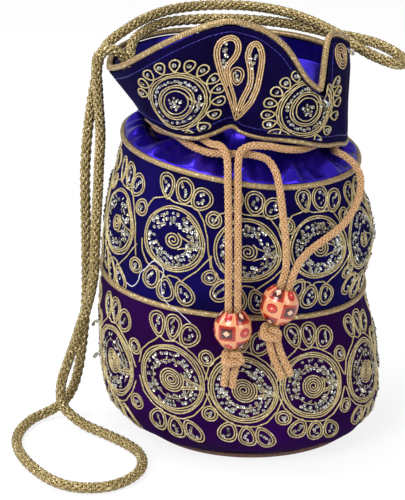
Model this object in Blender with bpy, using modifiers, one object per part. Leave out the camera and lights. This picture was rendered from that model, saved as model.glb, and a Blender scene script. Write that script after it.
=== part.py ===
"""Velvet potli bag: embroidered body, gathered neck, petal collar, drawstrings and a carry rope.

Sizes are in millimetres and become metres where a mesh or curve is made. The bag stands on
z = 0, its front looks along -Y, and an angle round it is measured from the front towards +X.
"""
import bpy
import bmesh
from math import atan2, copysign, cos, degrees, exp, pi, radians, sin, sqrt
from mathutils import Matrix, Vector

MM = 0.001
GAP = 0.3
WELD = 0.00001

# Driving sizes of the body
BASE_RADIUS = 55.7
BASE_THICKNESS = 2.2
BASE_CENTRE_X = 6.0
MIDDLE_SEAM_HEIGHT = 85.0
TOP_SEAM_HEIGHT = 157.0
PANEL_THICKNESS = 1.2
LINING_THICKNESS = 0.8
LINING_CLEARANCE = 0.8
BASE_PIPING_RADIUS = 1.3
SEAM_PIPING_RADIUS = 1.5
SEAM_REACH = SEAM_PIPING_RADIUS + GAP
PIPING_PROUD = 0.5
BODY_SEGMENTS = 40
LINING_SEGMENTS = 32
LINING_FLOOR_INSET = 4.0

# Half-width of the body by height, from the base seam to the top seam
MIDDLE_SEAM_HALF_WIDTH = 70.2
TOP_SEAM_HALF_WIDTH = 62.0
LOWER_OUTLINE = [(2 * BASE_PIPING_RADIUS + GAP, 57.9), (6.0, 63.5), (11.0, 69.5), (19.0, 74.0),
                 (32.0, 75.7), (50.0, 75.2), (68.0, 72.8),
                 (MIDDLE_SEAM_HEIGHT - SEAM_REACH, MIDDLE_SEAM_HALF_WIDTH + 0.1)]
UPPER_OUTLINE = [(MIDDLE_SEAM_HEIGHT + SEAM_REACH, MIDDLE_SEAM_HALF_WIDTH), (98.0, 70.9),
                 (112.0, 71.6), (126.0, 69.6), (140.0, 65.2),
                 (TOP_SEAM_HEIGHT - SEAM_REACH, TOP_SEAM_HALF_WIDTH + 0.2)]

# How the soft body leans and settles, by height
CENTRE_X = [(0.0, BASE_CENTRE_X), (20.0, 1.2), (45.0, -0.3), (MIDDLE_SEAM_HEIGHT, -3.5), (120.0, 0.2),
            (TOP_SEAM_HEIGHT, 0.4), (170.0, 3.0)]
TILT = [(0.0, 0.0), (30.0, 0.045), (MIDDLE_SEAM_HEIGHT, 0.076), (TOP_SEAM_HEIGHT, 0.111),
        (176.0, 0.111)]
DEPTH_RATIO = [(0.0, 1.0), (MIDDLE_SEAM_HEIGHT, 1.0), (TOP_SEAM_HEIGHT, 1.07), (170.0, 1.0)]
SECTION_POWER = 2.2
FRONT_DIP = 2.2
FRONT_DIP_ANGLE = 12.0
FRONT_DIP_SPREAD = 28.0
FRONT_DIP_START = 140.0
FRONT_DIP_END = 169.0

# Gathered satin neck: (half-width, height, share of the side drop, gather depth)
NECK_OUTLINE = [(TOP_SEAM_HALF_WIDTH - 0.7, TOP_SEAM_HEIGHT + SEAM_REACH, 0.0, 0.2),
                (59.0, 160.3, 0.15, 0.5), (55.0, 162.8, 0.35, 0.8),
                (49.5, 166.0, 0.7, 1.0), (45.0, 169.0, 0.9, 1.0), (42.0, 172.6, 1.0, 1.0),
                (41.3, 177.0, 1.0, 0.9), (43.5, 184.0, 1.0, 0.5)]
NECK_THICKNESS = 0.8
NECK_SIDE_DROP = 7.0
NECK_TOP_Z = 191.0
GATHERS = 15
SAMPLES_PER_GATHER = 4

# Petal collar, by angle in degrees: height of the hem's and the rim's cloth edge
COLLAR_HEM = [(-180.0, 171.0), (-135.0, 172.5), (-90.0, 171.5), (-72.0, 174.5), (-45.0, 175.2),
              (-28.0, 176.2), (-19.0, 178.6), (-9.0, 182.0), (-4.0, 178.8), (3.0, 177.6), (22.0, 175.2),
              (46.0, 168.6), (60.0, 166.0), (74.0, 162.5), (90.0, 161.5), (135.0, 167.0), (180.0, 171.0)]
COLLAR_RIM = [(-180.0, 201.5), (-150.0, 202.0), (-120.0, 200.5), (-97.0, 199.0), (-83.0, 198.0),
              (-72.0, 200.6), (-60.0, 204.7), (-50.0, 210.1), (-40.0, 216.5), (-30.0, 223.0),
              (-20.0, 228.6), (-10.0, 233.2), (0.0, 235.4), (8.0, 233.6), (15.0, 230.6),
              (20.0, 226.6), (25.0, 221.7), (30.0, 214.1), (35.0, 205.6), (40.0, 200.0),
              (45.0, 196.4), (48.75, 195.0), (52.5, 222.5), (56.0, 223.2), (60.0, 221.7),
              (65.0, 219.8), (70.0, 217.5), (75.0, 216.0), (80.0, 213.5), (90.0, 206.0),
              (100.0, 200.5), (115.0, 200.0), (150.0, 201.0), (180.0, 201.5)]
COLLAR_BULGE = [(-180.0, 0.0), (-60.0, 0.0), (-28.0, 4.5), (-9.0, -4.0), (10.0, 2.0), (28.0, 2.5),
                (60.0, 0.0), (180.0, 0.0)]
COLLAR_SEGMENTS = 96
COLLAR_ROWS = [0.0, 0.3, 0.65, 1.0]
COLLAR_THICKNESS = 1.4
HEM_HALF_WIDTH = 53.8
HEM_CENTRE_X = 3.0
RIM_HALF_WIDTH = 63.0
RIM_HALF_DEPTH = 61.0
RIM_CENTRE_X = -6.0
COLLAR_LINING_ROWS = [0.35, 0.65, 1.0]
COLLAR_LINING_CLEARANCE = 0.8
HEM_PIPING_RADIUS = 1.3
BULGE_FADE = 1.5
EDGE_SAMPLE_SHARE = 0.8

# Gold embroidery: plates that lie on the velvet
EMBROIDERY_THICKNESS = 0.9
EMBROIDERY_CLEARANCE = 0.45
UPPER_MEDALLION_RADIUS = 16.2
LOWER_MEDALLION_RADIUS = 17.0
# Angle and height of each medallion, as they are sewn on by eye
UPPER_MEDALLIONS = [(2.1, 121.4), (32.5, 123.3), (61.6, 121.1), (91.0, 121.0), (120.5, 121.0),
                    (150.0, 121.0), (179.5, 121.0), (-151.0, 121.0), (-121.5, 121.0), (-92.0, 120.0),
                    (-61.9, 118.1), (-28.3, 121.5)]
LOWER_MEDALLIONS = [(1.3, 46.4), (29.5, 47.5), (60.1, 45.8), (90.0, 46.5), (120.0, 46.5),
                    (150.0, 46.5), (180.0, 46.5), (-150.0, 46.5), (-120.0, 46.5), (-90.0, 46.0),
                    (-59.5, 44.9), (-27.5, 47.6)]
MEDALLION_BAND = 3.6
MEDALLION_SIDES = 12
MEDALLION_EYE_RADIUS = 4.8
MEDALLION_EYE_POINTS = 7
MEDALLION_TAIL_WIDTH = 2.4
COLLAR_MEDALLION_RADIUS = 12.6
COLLAR_MEDALLIONS = [("collar_medallion_left", -34.0, 192.5),
                     ("collar_medallion_right", 35.5, 184.5),
                     ("collar_medallion_back_left", -140.0, 186.0),
                     ("collar_medallion_back_right", 140.0, 184.0)]
# Each paisley leans from its tip, given as angle, height and lean of its head
PAISLEYS = [("collar_paisley_left", -7.5, 185.5, 2.0), ("collar_paisley_right", -1.5, 185.5, 18.0)]
PAISLEY_LENGTH = 41.0
PAISLEY_WIDTH = 12.0
PAISLEY_BAND = 2.8
PAISLEY_TIP_BANDS = 2.0
PAISLEY_TIP_WIDTH_SHARE = 0.35
PAISLEY_POINTS = 14

# Cords: the drawstrings' two turns round the neck, then the parts that hang free
DRAWSTRING_RADIUS = 2.15
DRAWSTRING_STEPS = 70
TURN_SIDE_DROP = 7.0
TURN_POINTS = 13
ROUTE_STEPS = 12
# Half-width and height of each drawstring's turn round the neck
INNER_TURN = (45.3, 174.5)
OUTER_TURN = (49.0, 171.4)
LEFT_ROUTE_OUT = [(-6.9, -86.4, 75.1), (-6.9, -85.9, 85.0), (-6.9, -85.2, 98.0),
                  (-6.9, -84.2, 118.0), (-6.9, -81.8, 130.0), (-7.0, -77.0, 143.0),
                  (-7.2, -71.8, 155.0), (-7.3, -69.6, 161.0), (-7.5, -67.6, 167.0),
                  (-8.6, -64.6, 171.4), (-11.2, -59.8, 173.2), (-15.5, -53.6, 172.2),
                  (-20.0, -47.6, 173.2), (-26.2, -40.0, 174.6)]
LEFT_TURN_ANGLES = (-50.0, -300.0)
LEFT_ROUTE_BACK = [(38.0, -33.0, 165.6), (31.0, -44.5, 166.9), (22.0, -54.5, 169.8),
                   (12.0, -59.5, 173.0), (4.0, -62.3, 173.8), (-0.8, -65.2, 172.0),
                   (-2.1, -67.6, 167.0), (-2.3, -69.6, 161.0), (-2.3, -71.8, 155.0),
                   (-2.3, -77.0, 143.0), (-2.3, -81.8, 130.0), (-2.3, -84.2, 118.0),
                   (-2.3, -85.2, 98.0), (-2.3, -85.9, 85.0), (-2.3, -86.4, 75.1)]
RIGHT_ROUTE_OUT = [(14.1, -83.0, 88.0), (16.7, -83.0, 97.3), (19.3, -83.0, 106.6),
                   (21.8, -83.0, 116.0), (21.8, -81.2, 128.0), (20.3, -77.3, 142.0),
                   (18.6, -71.6, 154.5), (16.6, -66.5, 161.8), (12.6, -62.5, 166.6),
                   (6.0, -60.2, 168.4), (-2.0, -59.0, 168.6), (-9.5, -57.8, 168.4),
                   (-15.5, -56.0, 168.2), (-21.0, -51.6, 168.4), (-26.8, -45.6, 169.6)]
RIGHT_TURN_ANGLES = (-47.0, -296.0)
RIGHT_ROUTE_BACK = [(49.0, -29.5, 161.0), (53.8, -33.2, 159.4), (58.4, -35.6, 155.8),
                    (61.4, -38.0, 150.0), (61.0, -42.0, 142.5), (57.4, -48.8, 135.4),
                    (51.4, -56.6, 129.6), (43.0, -64.6, 125.6), (35.6, -72.0, 122.6),
                    (29.6, -79.0, 119.0), (26.2, -82.8, 114.0), (23.6, -83.0, 105.4),
                    (21.1, -83.0, 96.0), (18.6, -83.0, 86.8)]

# Wooden beads on the drawstrings, each with a knot below it
BEAD_RADIUS = 9.8
BEAD_HALF_LENGTH = 11.0
BEAD_BORE_RADIUS = 4.85
BEAD_PROFILE_STEPS = 8
BEAD_SEGMENTS = 20
BEADS = [("bead_left", (-4.6, -85.95, 84.8), (0.0, 0.05, 1.0)),
         ("bead_right", (18.8, -83.0, 96.6), (0.27, 0.0, 0.963))]
KNOT_RADIUS = 7.8
KNOT_HALF_HEIGHT = 5.6
KNOT_SEGMENTS = 14
KNOT_RINGS = 8
TAIL_POINTS = 6
TAILS = {"bead_left": [[(-6.4, -86.4, 68.0), (-8.4, -86.6, 58.0), (-9.3, -86.8, 51.0)],
                       [(-2.8, -86.4, 68.0), (-2.6, -86.6, 58.0), (-2.8, -86.8, 49.5)]],
         "bead_right": [[(13.6, -83.2, 80.0), (15.4, -83.6, 70.0), (19.0, -84.2, 61.5),
                         (21.0, -84.4, 57.0)],
                        [(17.4, -83.0, 80.0), (20.2, -83.2, 71.0), (23.8, -83.6, 63.0),
                         (25.8, -83.8, 58.5)]]}

# Carry rope: over the back rim, round the hairpin on the right, back over the rim,
# down the left side, round the loop on the floor and up again to the left of the mouth
ROPE_RADIUS = 2.9
ROPE_STEPS = 80
ROPE_ROUTE = [(-58.2, 12.0, 197.0), (-57.8, 19.0, 205.0), (-52.0, 33.0, 208.8), (-41.0, 47.5, 210.4),
              (-24.0, 56.5, 210.2), (-8.0, 59.6, 209.8), (8.0, 59.4, 209.2), (24.0, 55.6, 208.4),
              (38.0, 47.4, 207.6), (50.0, 35.6, 207.4), (62.0, 25.6, 207.6), (74.0, 17.4, 206.0),
              (83.2, 9.4, 202.6), (86.6, 0.0, 200.6), (81.4, -7.0, 201.6), (71.0, -4.4, 204.6),
              (62.0, 3.6, 207.8), (55.0, 13.6, 210.4), (47.4, 26.0, 212.2), (36.0, 41.0, 214.2),
              (22.0, 54.4, 215.6), (6.0, 61.6, 216.4), (-10.0, 63.4, 216.6), (-26.0, 59.0, 216.8),
              (-40.0, 49.5, 216.6), (-53.0, 36.6, 214.4), (-62.6, 26.0, 210.8), (-69.8, 18.5, 206.6),
              (-74.4, 13.6, 200.0), (-76.6, 8.5, 188.9), (-79.2, 6.0, 174.8), (-81.5, 4.4, 157.6),
              (-82.8, 3.8, 138.0), (-82.9, 3.4, 112.4), (-83.0, 3.4, 87.7), (-83.3, 3.6, 70.8),
              (-84.6, 4.0, 54.3), (-86.3, 4.0, 39.5), (-88.4, 3.0, 26.3), (-91.3, 1.0, 16.3),
              (-95.9, -2.0, 9.2), (-101.4, -4.2, 5.5), (-107.2, -7.4, 3.6), (-112.6, -13.0, 3.1),
              (-118.0, -26.6, 3.1), (-119.7, -40.0, 3.1), (-118.5, -50.8, 3.1), (-114.3, -64.3, 3.1),
              (-107.1, -78.7, 3.1), (-98.0, -91.2, 3.1), (-89.0, -98.2, 3.1), (-78.5, -100.8, 3.1),
              (-67.4, -98.6, 3.1), (-58.6, -91.2, 3.1), (-52.9, -80.7, 3.1), (-51.6, -67.9, 3.1),
              (-54.3, -56.9, 3.1), (-60.0, -47.6, 3.1), (-67.3, -39.1, 3.1), (-75.7, -30.6, 3.1),
              (-84.0, -23.8, 4.0), (-90.5, -19.6, 7.0), (-95.2, -16.6, 10.8), (-97.2, -14.2, 15.0),
              (-97.4, -12.6, 20.4), (-96.1, -12.0, 27.2), (-93.7, -12.5, 34.5), (-91.1, -13.5, 42.5),
              (-88.1, -15.0, 51.3), (-85.1, -17.0, 61.3), (-81.8, -19.0, 71.3), (-79.4, -20.5, 81.0),
              (-77.8, -21.0, 90.3), (-77.2, -20.5, 100.8), (-76.4, -16.5, 117.4), (-75.4, -12.5, 132.8),
              (-74.7, -9.0, 147.2), (-73.9, -6.0, 160.7), (-74.0, -4.6, 168.0), (-74.6, -3.4, 177.5),
              (-75.0, -3.0, 188.0), (-75.4, -3.0, 198.6), (-74.0, -3.0, 205.4), (-67.9, -3.0, 208.4),
              (-61.6, -2.8, 205.0), (-59.4, -2.6, 197.0)]


def blend(table, at):
    """Value of a table of (place, value) at a place, on a smooth curve that never overshoots."""
    if at <= table[0][0]:
        return table[0][1]
    if at >= table[-1][0]:
        return table[-1][1]
    right = next(i for i, row in enumerate(table) if row[0] >= at)
    (x0, y0), (x1, y1) = table[right - 1], table[right]
    slope = (y1 - y0) / (x1 - x0)

    def end_slope(i):
        if i == 0 or i == len(table) - 1:
            return 0.0 if len(table) > 2 else slope
        before = (table[i][1] - table[i - 1][1]) / (table[i][0] - table[i - 1][0])
        after = (table[i + 1][1] - table[i][1]) / (table[i + 1][0] - table[i][0])
        if before * after <= 0:
            return 0.0
        return 2 * before * after / (before + after)

    t = (at - x0) / (x1 - x0)
    m0, m1 = end_slope(right - 1) * (x1 - x0), end_slope(right) * (x1 - x0)
    return ((2 * t ** 3 - 3 * t ** 2 + 1) * y0 + (t ** 3 - 2 * t ** 2 + t) * m0
            + (3 * t ** 2 - 2 * t ** 3) * y1 + (t ** 3 - t ** 2) * m1)


def section_radius(theta, half_width, half_depth):
    """Radius of the slightly squared oval section at an angle from the front."""
    across = abs(sin(theta) / half_width) ** SECTION_POWER
    along = abs(cos(theta) / half_depth) ** SECTION_POWER
    return (across + along) ** (-1 / SECTION_POWER)


def body_point(theta, half_width, height, side_drop=0.0):
    """A point of the body's cloth, after its lean, its squared section and the dip at the front."""
    ratio = blend(DEPTH_RATIO, height)
    radius = section_radius(theta, half_width, half_width * ratio)
    x = blend(CENTRE_X, height) + radius * sin(theta)
    y = -radius * cos(theta)
    dip = FRONT_DIP * exp(-((degrees(theta) - FRONT_DIP_ANGLE) / FRONT_DIP_SPREAD) ** 2)
    dip *= min(1.0, max(0.0, (height - FRONT_DIP_START) / (TOP_SEAM_HEIGHT - FRONT_DIP_START)))
    dip *= min(1.0, max(0.0, (FRONT_DIP_END - height) / (FRONT_DIP_END - TOP_SEAM_HEIGHT)))
    z = height - blend(TILT, height) * x - dip - side_drop * sin(theta) ** 2
    return Vector((x, y, z))


def collar_point(theta, share, depth=0.0):
    """A point of the collar: share runs from the hem (0) to the rim (1), depth goes inwards."""
    angle = degrees(theta)
    half_width = HEM_HALF_WIDTH + (RIM_HALF_WIDTH - HEM_HALF_WIDTH) * share
    half_depth = HEM_HALF_WIDTH + (RIM_HALF_DEPTH - HEM_HALF_WIDTH) * share
    radius = section_radius(theta, half_width, half_depth)
    radius += blend(COLLAR_BULGE, angle) * max(0.0, 1.0 - share) ** BULGE_FADE - depth
    x = HEM_CENTRE_X + (RIM_CENTRE_X - HEM_CENTRE_X) * share + radius * sin(theta)
    z = blend(COLLAR_HEM, angle) + (blend(COLLAR_RIM, angle) - blend(COLLAR_HEM, angle)) * share
    return Vector((x, -radius * cos(theta), z))


def collar_share(theta, z):
    """Share of the way from hem to rim at which the collar has a height."""
    hem, rim = blend(COLLAR_HEM, degrees(theta)), blend(COLLAR_RIM, degrees(theta))
    return (z - hem) / (rim - hem)


def inset(outline, distance):
    """An outline of (height, half-width) moved inwards at right angles to itself."""
    moved = []
    for i, (height, width) in enumerate(outline):
        before, after = outline[max(i - 1, 0)], outline[min(i + 1, len(outline) - 1)]
        along = Vector((after[1] - before[1], after[0] - before[0])).normalized()
        moved.append((height + distance * along.x, width - distance * along.y))
    return moved


def smooth_route(points, count):
    """Evenly spaced points on a smooth curve through a route's own points."""
    knots = [Vector(p) for p in points]
    dense = []
    for i in range(len(knots) - 1):
        p0 = knots[i - 1] if i else knots[0] * 2 - knots[1]
        p1, p2 = knots[i], knots[i + 1]
        p3 = knots[i + 2] if i + 2 < len(knots) else p2 * 2 - p1
        t1 = sqrt((p1 - p0).length)
        t2 = t1 + sqrt((p2 - p1).length)
        t3 = t2 + sqrt((p3 - p2).length)
        for step in range(ROUTE_STEPS):
            t = t1 + (t2 - t1) * step / ROUTE_STEPS
            a1 = p0 * ((t1 - t) / t1) + p1 * (t / t1)
            a2 = p1 * ((t2 - t) / (t2 - t1)) + p2 * ((t - t1) / (t2 - t1))
            a3 = p2 * ((t3 - t) / (t3 - t2)) + p3 * ((t - t2) / (t3 - t2))
            b1 = a1 * ((t2 - t) / t2) + a2 * (t / t2)
            b2 = a2 * ((t3 - t) / (t3 - t1)) + a3 * ((t - t1) / (t3 - t1))
            dense.append(b1 * ((t2 - t) / (t2 - t1)) + b2 * ((t - t1) / (t2 - t1)))
    dense.append(knots[-1])
    lengths = [0.0]
    for a, b in zip(dense, dense[1:]):
        lengths.append(lengths[-1] + (b - a).length)
    even, segment = [], 0
    for i in range(count):
        target = lengths[-1] * i / (count - 1)
        while segment < len(dense) - 2 and lengths[segment + 1] < target:
            segment += 1
        span = lengths[segment + 1] - lengths[segment]
        even.append(dense[segment].lerp(dense[segment + 1], (target - lengths[segment]) / span))
    return even


def angles(count):
    return [2 * pi * i / count - pi for i in range(count)]


def clear_scene():
    for item in list(bpy.data.objects):
        bpy.data.objects.remove(item)
    for old in list(bpy.data.collections):
        bpy.data.collections.remove(old)
    made = []
    for name in ("potli_bag", "cutters"):
        collection = bpy.data.collections.new(name)
        bpy.context.scene.collection.children.link(collection)
        made.append(collection)
    return made


def material(name, colour, roughness, metallic=0.0):
    made = bpy.data.materials.new(name)
    made.use_nodes = True
    shader = made.node_tree.nodes["Principled BSDF"]
    shader.inputs["Base Color"].default_value = (*colour, 1.0)
    shader.inputs["Roughness"].default_value = roughness
    shader.inputs["Metallic"].default_value = metallic
    made.diffuse_color = (*colour, 1.0)
    return made


def add_object(name, data, look):
    made = bpy.data.objects.new(name, data)
    data.materials.append(look)
    parts.objects.link(made)
    return made


def move_to_parts(item):
    for collection in list(item.users_collection):
        collection.objects.unlink(item)
    parts.objects.link(item)


def add_mesh(name, bm, look, smooth=True):
    bmesh.ops.recalc_face_normals(bm, faces=bm.faces)
    closed = all(edge.is_manifold for edge in bm.edges)
    if closed and bm.calc_volume(signed=True) < 0:
        bmesh.ops.reverse_faces(bm, faces=bm.faces)
    data = bpy.data.meshes.new(name)
    bm.to_mesh(data)
    bm.free()
    if smooth:
        data.shade_smooth()
    return add_object(name, data, look)


def spun_shell(name, rows, segments, place, thickness, look):
    """A shell of revolution in angle and row, bent to its true form and given its thickness."""
    bm = bmesh.new()
    column = [bm.verts.new((0.0, -1.0, row)) for row in range(rows)]
    edges = [bm.edges.new(pair) for pair in zip(column, column[1:])]
    bmesh.ops.spin(bm, geom=column + edges, cent=(0, 0, 0), axis=(0, 0, 1), angle=2 * pi,
                   steps=segments, use_merge=True)
    for vert in bm.verts:
        vert.co = place(atan2(vert.co.x, -vert.co.y), round(vert.co.z)) * MM
    bmesh.ops.remove_doubles(bm, verts=bm.verts, dist=WELD)
    made = add_mesh(name, bm, look)
    outward = sum((Vector((f.center.x, f.center.y, 0)).dot(f.normal) for f in made.data.polygons))
    if outward < 0:
        made.data.flip_normals()
    solid = made.modifiers.new("thickness", "SOLIDIFY")
    solid.thickness = thickness * MM
    solid.offset = -1.0
    solid.use_even_offset = True
    return made


def round_tube(name, points, radius, look, closed=False, resolution=2):
    """A cord or piping of round section along points."""
    data = bpy.data.curves.new(name, "CURVE")
    data.dimensions = "3D"
    spline = data.splines.new("POLY")
    spline.points.add(len(points) - 1)
    for slot, point in zip(spline.points, points):
        slot.co = (*(point * MM), 1.0)
    spline.use_cyclic_u = closed
    spline.use_smooth = True
    data.bevel_depth = radius * MM
    data.bevel_resolution = resolution
    data.use_fill_caps = not closed
    return add_object(name, data, look)


def wrapped_plate(name, outlines, place, look):
    """A flat outline with holes, given the embroidery's thickness and laid on the velvet."""
    data = bpy.data.curves.new(name, "CURVE")
    data.dimensions = "2D"
    data.fill_mode = "BOTH"
    data.extrude = EMBROIDERY_THICKNESS / 2
    for outline in outlines:
        spline = data.splines.new("POLY")
        spline.points.add(len(outline) - 1)
        for slot, (u, v) in zip(spline.points, outline):
            slot.co = (u, v, 0.0, 1.0)
        spline.use_cyclic_u = True
    flat = bpy.data.objects.new(name, data)
    parts.objects.link(flat)
    bpy.context.view_layer.update()
    mesh = bpy.data.meshes.new_from_object(flat.evaluated_get(bpy.context.evaluated_depsgraph_get()))
    bpy.data.objects.remove(flat)
    bpy.data.curves.remove(data)
    bm = bmesh.new()
    bm.from_mesh(mesh)
    bpy.data.meshes.remove(mesh)
    bmesh.ops.remove_doubles(bm, verts=bm.verts, dist=0.001)
    flat_faces = [face for face in bm.faces if abs(face.normal.z) > 0.5]
    inner_edges = [edge for edge in bm.edges if all(face in flat_faces for face in edge.link_faces)]
    bmesh.ops.beautify_fill(bm, faces=flat_faces, edges=inner_edges)
    for vert in bm.verts:
        lift = EMBROIDERY_CLEARANCE + EMBROIDERY_THICKNESS / 2 + vert.co.z
        vert.co = place(vert.co.x, vert.co.y, lift) * MM
    return add_mesh(name, bm, look, smooth=False)


def medallion_outlines(radius):
    """The ring, and the opening in it that leaves the round eye and the tail that carries it."""
    ring = [(radius * cos(a), radius * sin(a)) for a in angles(MEDALLION_SIDES)]
    half_tail = MEDALLION_TAIL_WIDTH / 2
    opening = []
    for edge_radius, count, forwards in ((radius - MEDALLION_BAND, MEDALLION_SIDES, True),
                                         (MEDALLION_EYE_RADIUS, MEDALLION_EYE_POINTS, False)):
        start = atan2(half_tail, sqrt(edge_radius ** 2 - half_tail ** 2))
        steps = [start + (2 * pi - 2 * start) * i / (count - 1) for i in range(count)]
        arc = [(edge_radius * cos(a), edge_radius * sin(a)) for a in steps]
        opening += arc if forwards else arc[::-1]
    return [ring, opening]


def paisley_outlines(lean):
    """A drop with its tip at the bottom and a curled head, and the drop-shaped opening in it."""
    outlines = []
    for shrink in (0.0, PAISLEY_BAND):
        length = PAISLEY_LENGTH - (PAISLEY_TIP_BANDS + 1) * shrink
        half = PAISLEY_WIDTH / 2 - shrink
        outline = []
        for i in range(PAISLEY_POINTS):
            angle = 2 * pi * i / PAISLEY_POINTS
            rise = (1 - cos(angle)) / 2
            across = half * sin(angle) * (PAISLEY_TIP_WIDTH_SHARE + (1 - PAISLEY_TIP_WIDTH_SHARE) * rise)
            up = PAISLEY_TIP_BANDS * shrink + length * rise
            outline.append((across + sin(radians(lean)) * up * rise, up))
        outlines.append(outline)
    return outlines


def on_body(theta, height, outline):
    """Placing function of a plate centred on the body at an angle and a height."""
    reach = blend(outline, height)

    def place(u, v, lift):
        width = blend(outline, height + v)
        return body_point(theta + u / reach, width + lift, height + v)
    return place


def on_collar(theta, z):
    """Placing function of a plate on the collar."""
    share = collar_share(theta, z)
    reach = section_radius(theta, HEM_HALF_WIDTH, HEM_HALF_WIDTH) * (1 - share) + RIM_HALF_WIDTH * share

    def place(u, v, lift):
        turned = theta + u / reach
        return collar_point(turned, collar_share(turned, z + v), -lift)
    return place


def edge_path(share, offset, depth):
    """Path beside the collar's hem or rim, held off its edge along the cloth and sunk to a depth."""
    turns = angles(COLLAR_SEGMENTS)
    edge = [collar_point(a, share) for a in turns]
    path = []
    for i, point in enumerate(edge):
        arriving = (point - edge[i - 1]).normalized()
        leaving = (edge[(i + 1) % len(edge)] - point).normalized()
        along = (arriving + leaving).normalized()
        rising = collar_point(turns[i], 1.0) - collar_point(turns[i], EDGE_SAMPLE_SHARE)
        across = (rising - along * rising.dot(along)).normalized()
        inward = along.cross(across)
        inward *= -copysign(1.0, inward.dot(Vector((point.x, point.y, 0))))
        mitre = 1 / arriving.dot(along)
        path.append(point + across * offset * mitre + inward * depth)
    return path


def turn_points(turn_angles, turn):
    """The part of a drawstring that goes round the neck."""
    first, last = turn_angles
    steps = [first + (last - first) * i / (TURN_POINTS - 1) for i in range(TURN_POINTS)]
    return [body_point(radians(step), *turn, TURN_SIDE_DROP) for step in steps]


def make_base():
    bpy.ops.mesh.primitive_cylinder_add(
        vertices=BODY_SEGMENTS, radius=BASE_RADIUS * MM, depth=BASE_THICKNESS * MM,
        location=(BASE_CENTRE_X * MM, 0, BASE_THICKNESS * MM / 2))
    disc = bpy.context.object
    disc.name = disc.data.name = "base_panel"
    disc.data.materials.append(violet_velvet)
    move_to_parts(disc)
    seam = BASE_RADIUS + GAP + BASE_PIPING_RADIUS
    path = [Vector((BASE_CENTRE_X + seam * sin(a), -seam * cos(a), BASE_PIPING_RADIUS))
            for a in angles(BODY_SEGMENTS)]
    round_tube("base_piping", path, BASE_PIPING_RADIUS, brown_piping, closed=True, resolution=1)


def make_body():
    for name, outline, look in (("lower_panel", LOWER_OUTLINE, violet_velvet),
                                ("upper_panel", UPPER_OUTLINE, blue_velvet)):
        spun_shell(name, len(outline), BODY_SEGMENTS,
                   lambda a, row, o=outline: body_point(a, o[row][1], o[row][0]), PANEL_THICKNESS, look)
    for name, height, width in (("middle_piping", MIDDLE_SEAM_HEIGHT, MIDDLE_SEAM_HALF_WIDTH),
                                ("top_piping", TOP_SEAM_HEIGHT, TOP_SEAM_HALF_WIDTH)):
        path = [body_point(a, width + PIPING_PROUD, height) for a in angles(BODY_SEGMENTS)]
        round_tube(name, path, SEAM_PIPING_RADIUS, gold_piping, closed=True, resolution=1)


def make_lining():
    wall = inset(LOWER_OUTLINE[1:] + UPPER_OUTLINE[:-1], PANEL_THICKNESS + LINING_CLEARANCE)
    floor = BASE_THICKNESS + GAP + LINING_THICKNESS
    rows = [(floor, 0.0), (floor, BASE_RADIUS - LINING_FLOOR_INSET)] + wall[::2] + wall[-1:]
    spun_shell("bag_lining", len(rows), LINING_SEGMENTS,
               lambda a, row: lining_point(a, *rows[row]), LINING_THICKNESS, satin)


def lining_point(theta, height, width):
    if width == 0.0:
        return Vector((BASE_CENTRE_X, 0.0, height))
    return body_point(theta, width, height)


def make_neck():
    def place(theta, row):
        if row == len(NECK_OUTLINE):
            inside = COLLAR_THICKNESS + COLLAR_LINING_CLEARANCE + LINING_THICKNESS + 2 * GAP
            return collar_point(theta, collar_share(theta, NECK_TOP_Z), inside)
        width, height, drop_share, depth = NECK_OUTLINE[row]
        width += depth * cos(GATHERS * theta)
        return body_point(theta, width, height, NECK_SIDE_DROP * drop_share)

    spun_shell("satin_neck", len(NECK_OUTLINE) + 1, GATHERS * SAMPLES_PER_GATHER, place,
               NECK_THICKNESS, satin)


def make_collar():
    spun_shell("collar", len(COLLAR_ROWS), COLLAR_SEGMENTS,
               lambda a, row: collar_point(a, COLLAR_ROWS[row]), COLLAR_THICKNESS, collar_velvet)
    lining_depth = COLLAR_THICKNESS + COLLAR_LINING_CLEARANCE
    spun_shell("collar_lining", len(COLLAR_LINING_ROWS), COLLAR_SEGMENTS,
               lambda a, row: collar_point(a, COLLAR_LINING_ROWS[row], lining_depth),
               LINING_THICKNESS, satin)
    edge_depth = (lining_depth + LINING_THICKNESS) / 2
    rim = edge_path(1.0, SEAM_REACH, edge_depth)
    round_tube("rim_piping", rim, SEAM_PIPING_RADIUS, gold_piping, closed=True, resolution=1)
    hem = edge_path(0.0, -HEM_PIPING_RADIUS - GAP, COLLAR_THICKNESS / 2)
    round_tube("hem_piping", hem, HEM_PIPING_RADIUS, gold_piping, closed=True, resolution=1)


def make_embroidery():
    for row, places, radius, outline in (
            ("upper", UPPER_MEDALLIONS, UPPER_MEDALLION_RADIUS, UPPER_OUTLINE),
            ("lower", LOWER_MEDALLIONS, LOWER_MEDALLION_RADIUS, LOWER_OUTLINE)):
        for number, (angle, height) in enumerate(places, 1):
            wrapped_plate(f"{row}_medallion_{number:02d}", medallion_outlines(radius),
                          on_body(radians(angle), height, outline), gold_thread)
    for name, angle, z in COLLAR_MEDALLIONS:
        wrapped_plate(name, medallion_outlines(COLLAR_MEDALLION_RADIUS),
                      on_collar(radians(angle), z), gold_thread)
    for name, angle, z, lean in PAISLEYS:
        wrapped_plate(name, paisley_outlines(lean), on_collar(radians(angle), z), gold_thread)


def make_drawstrings():
    left = LEFT_ROUTE_OUT + turn_points(LEFT_TURN_ANGLES, INNER_TURN) + LEFT_ROUTE_BACK
    right = RIGHT_ROUTE_OUT + turn_points(RIGHT_TURN_ANGLES, OUTER_TURN) + RIGHT_ROUTE_BACK
    round_tube("drawstring_left", smooth_route(left, DRAWSTRING_STEPS), DRAWSTRING_RADIUS, tan_cord)
    round_tube("drawstring_right", smooth_route(right, DRAWSTRING_STEPS), DRAWSTRING_RADIUS, tan_cord)


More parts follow.
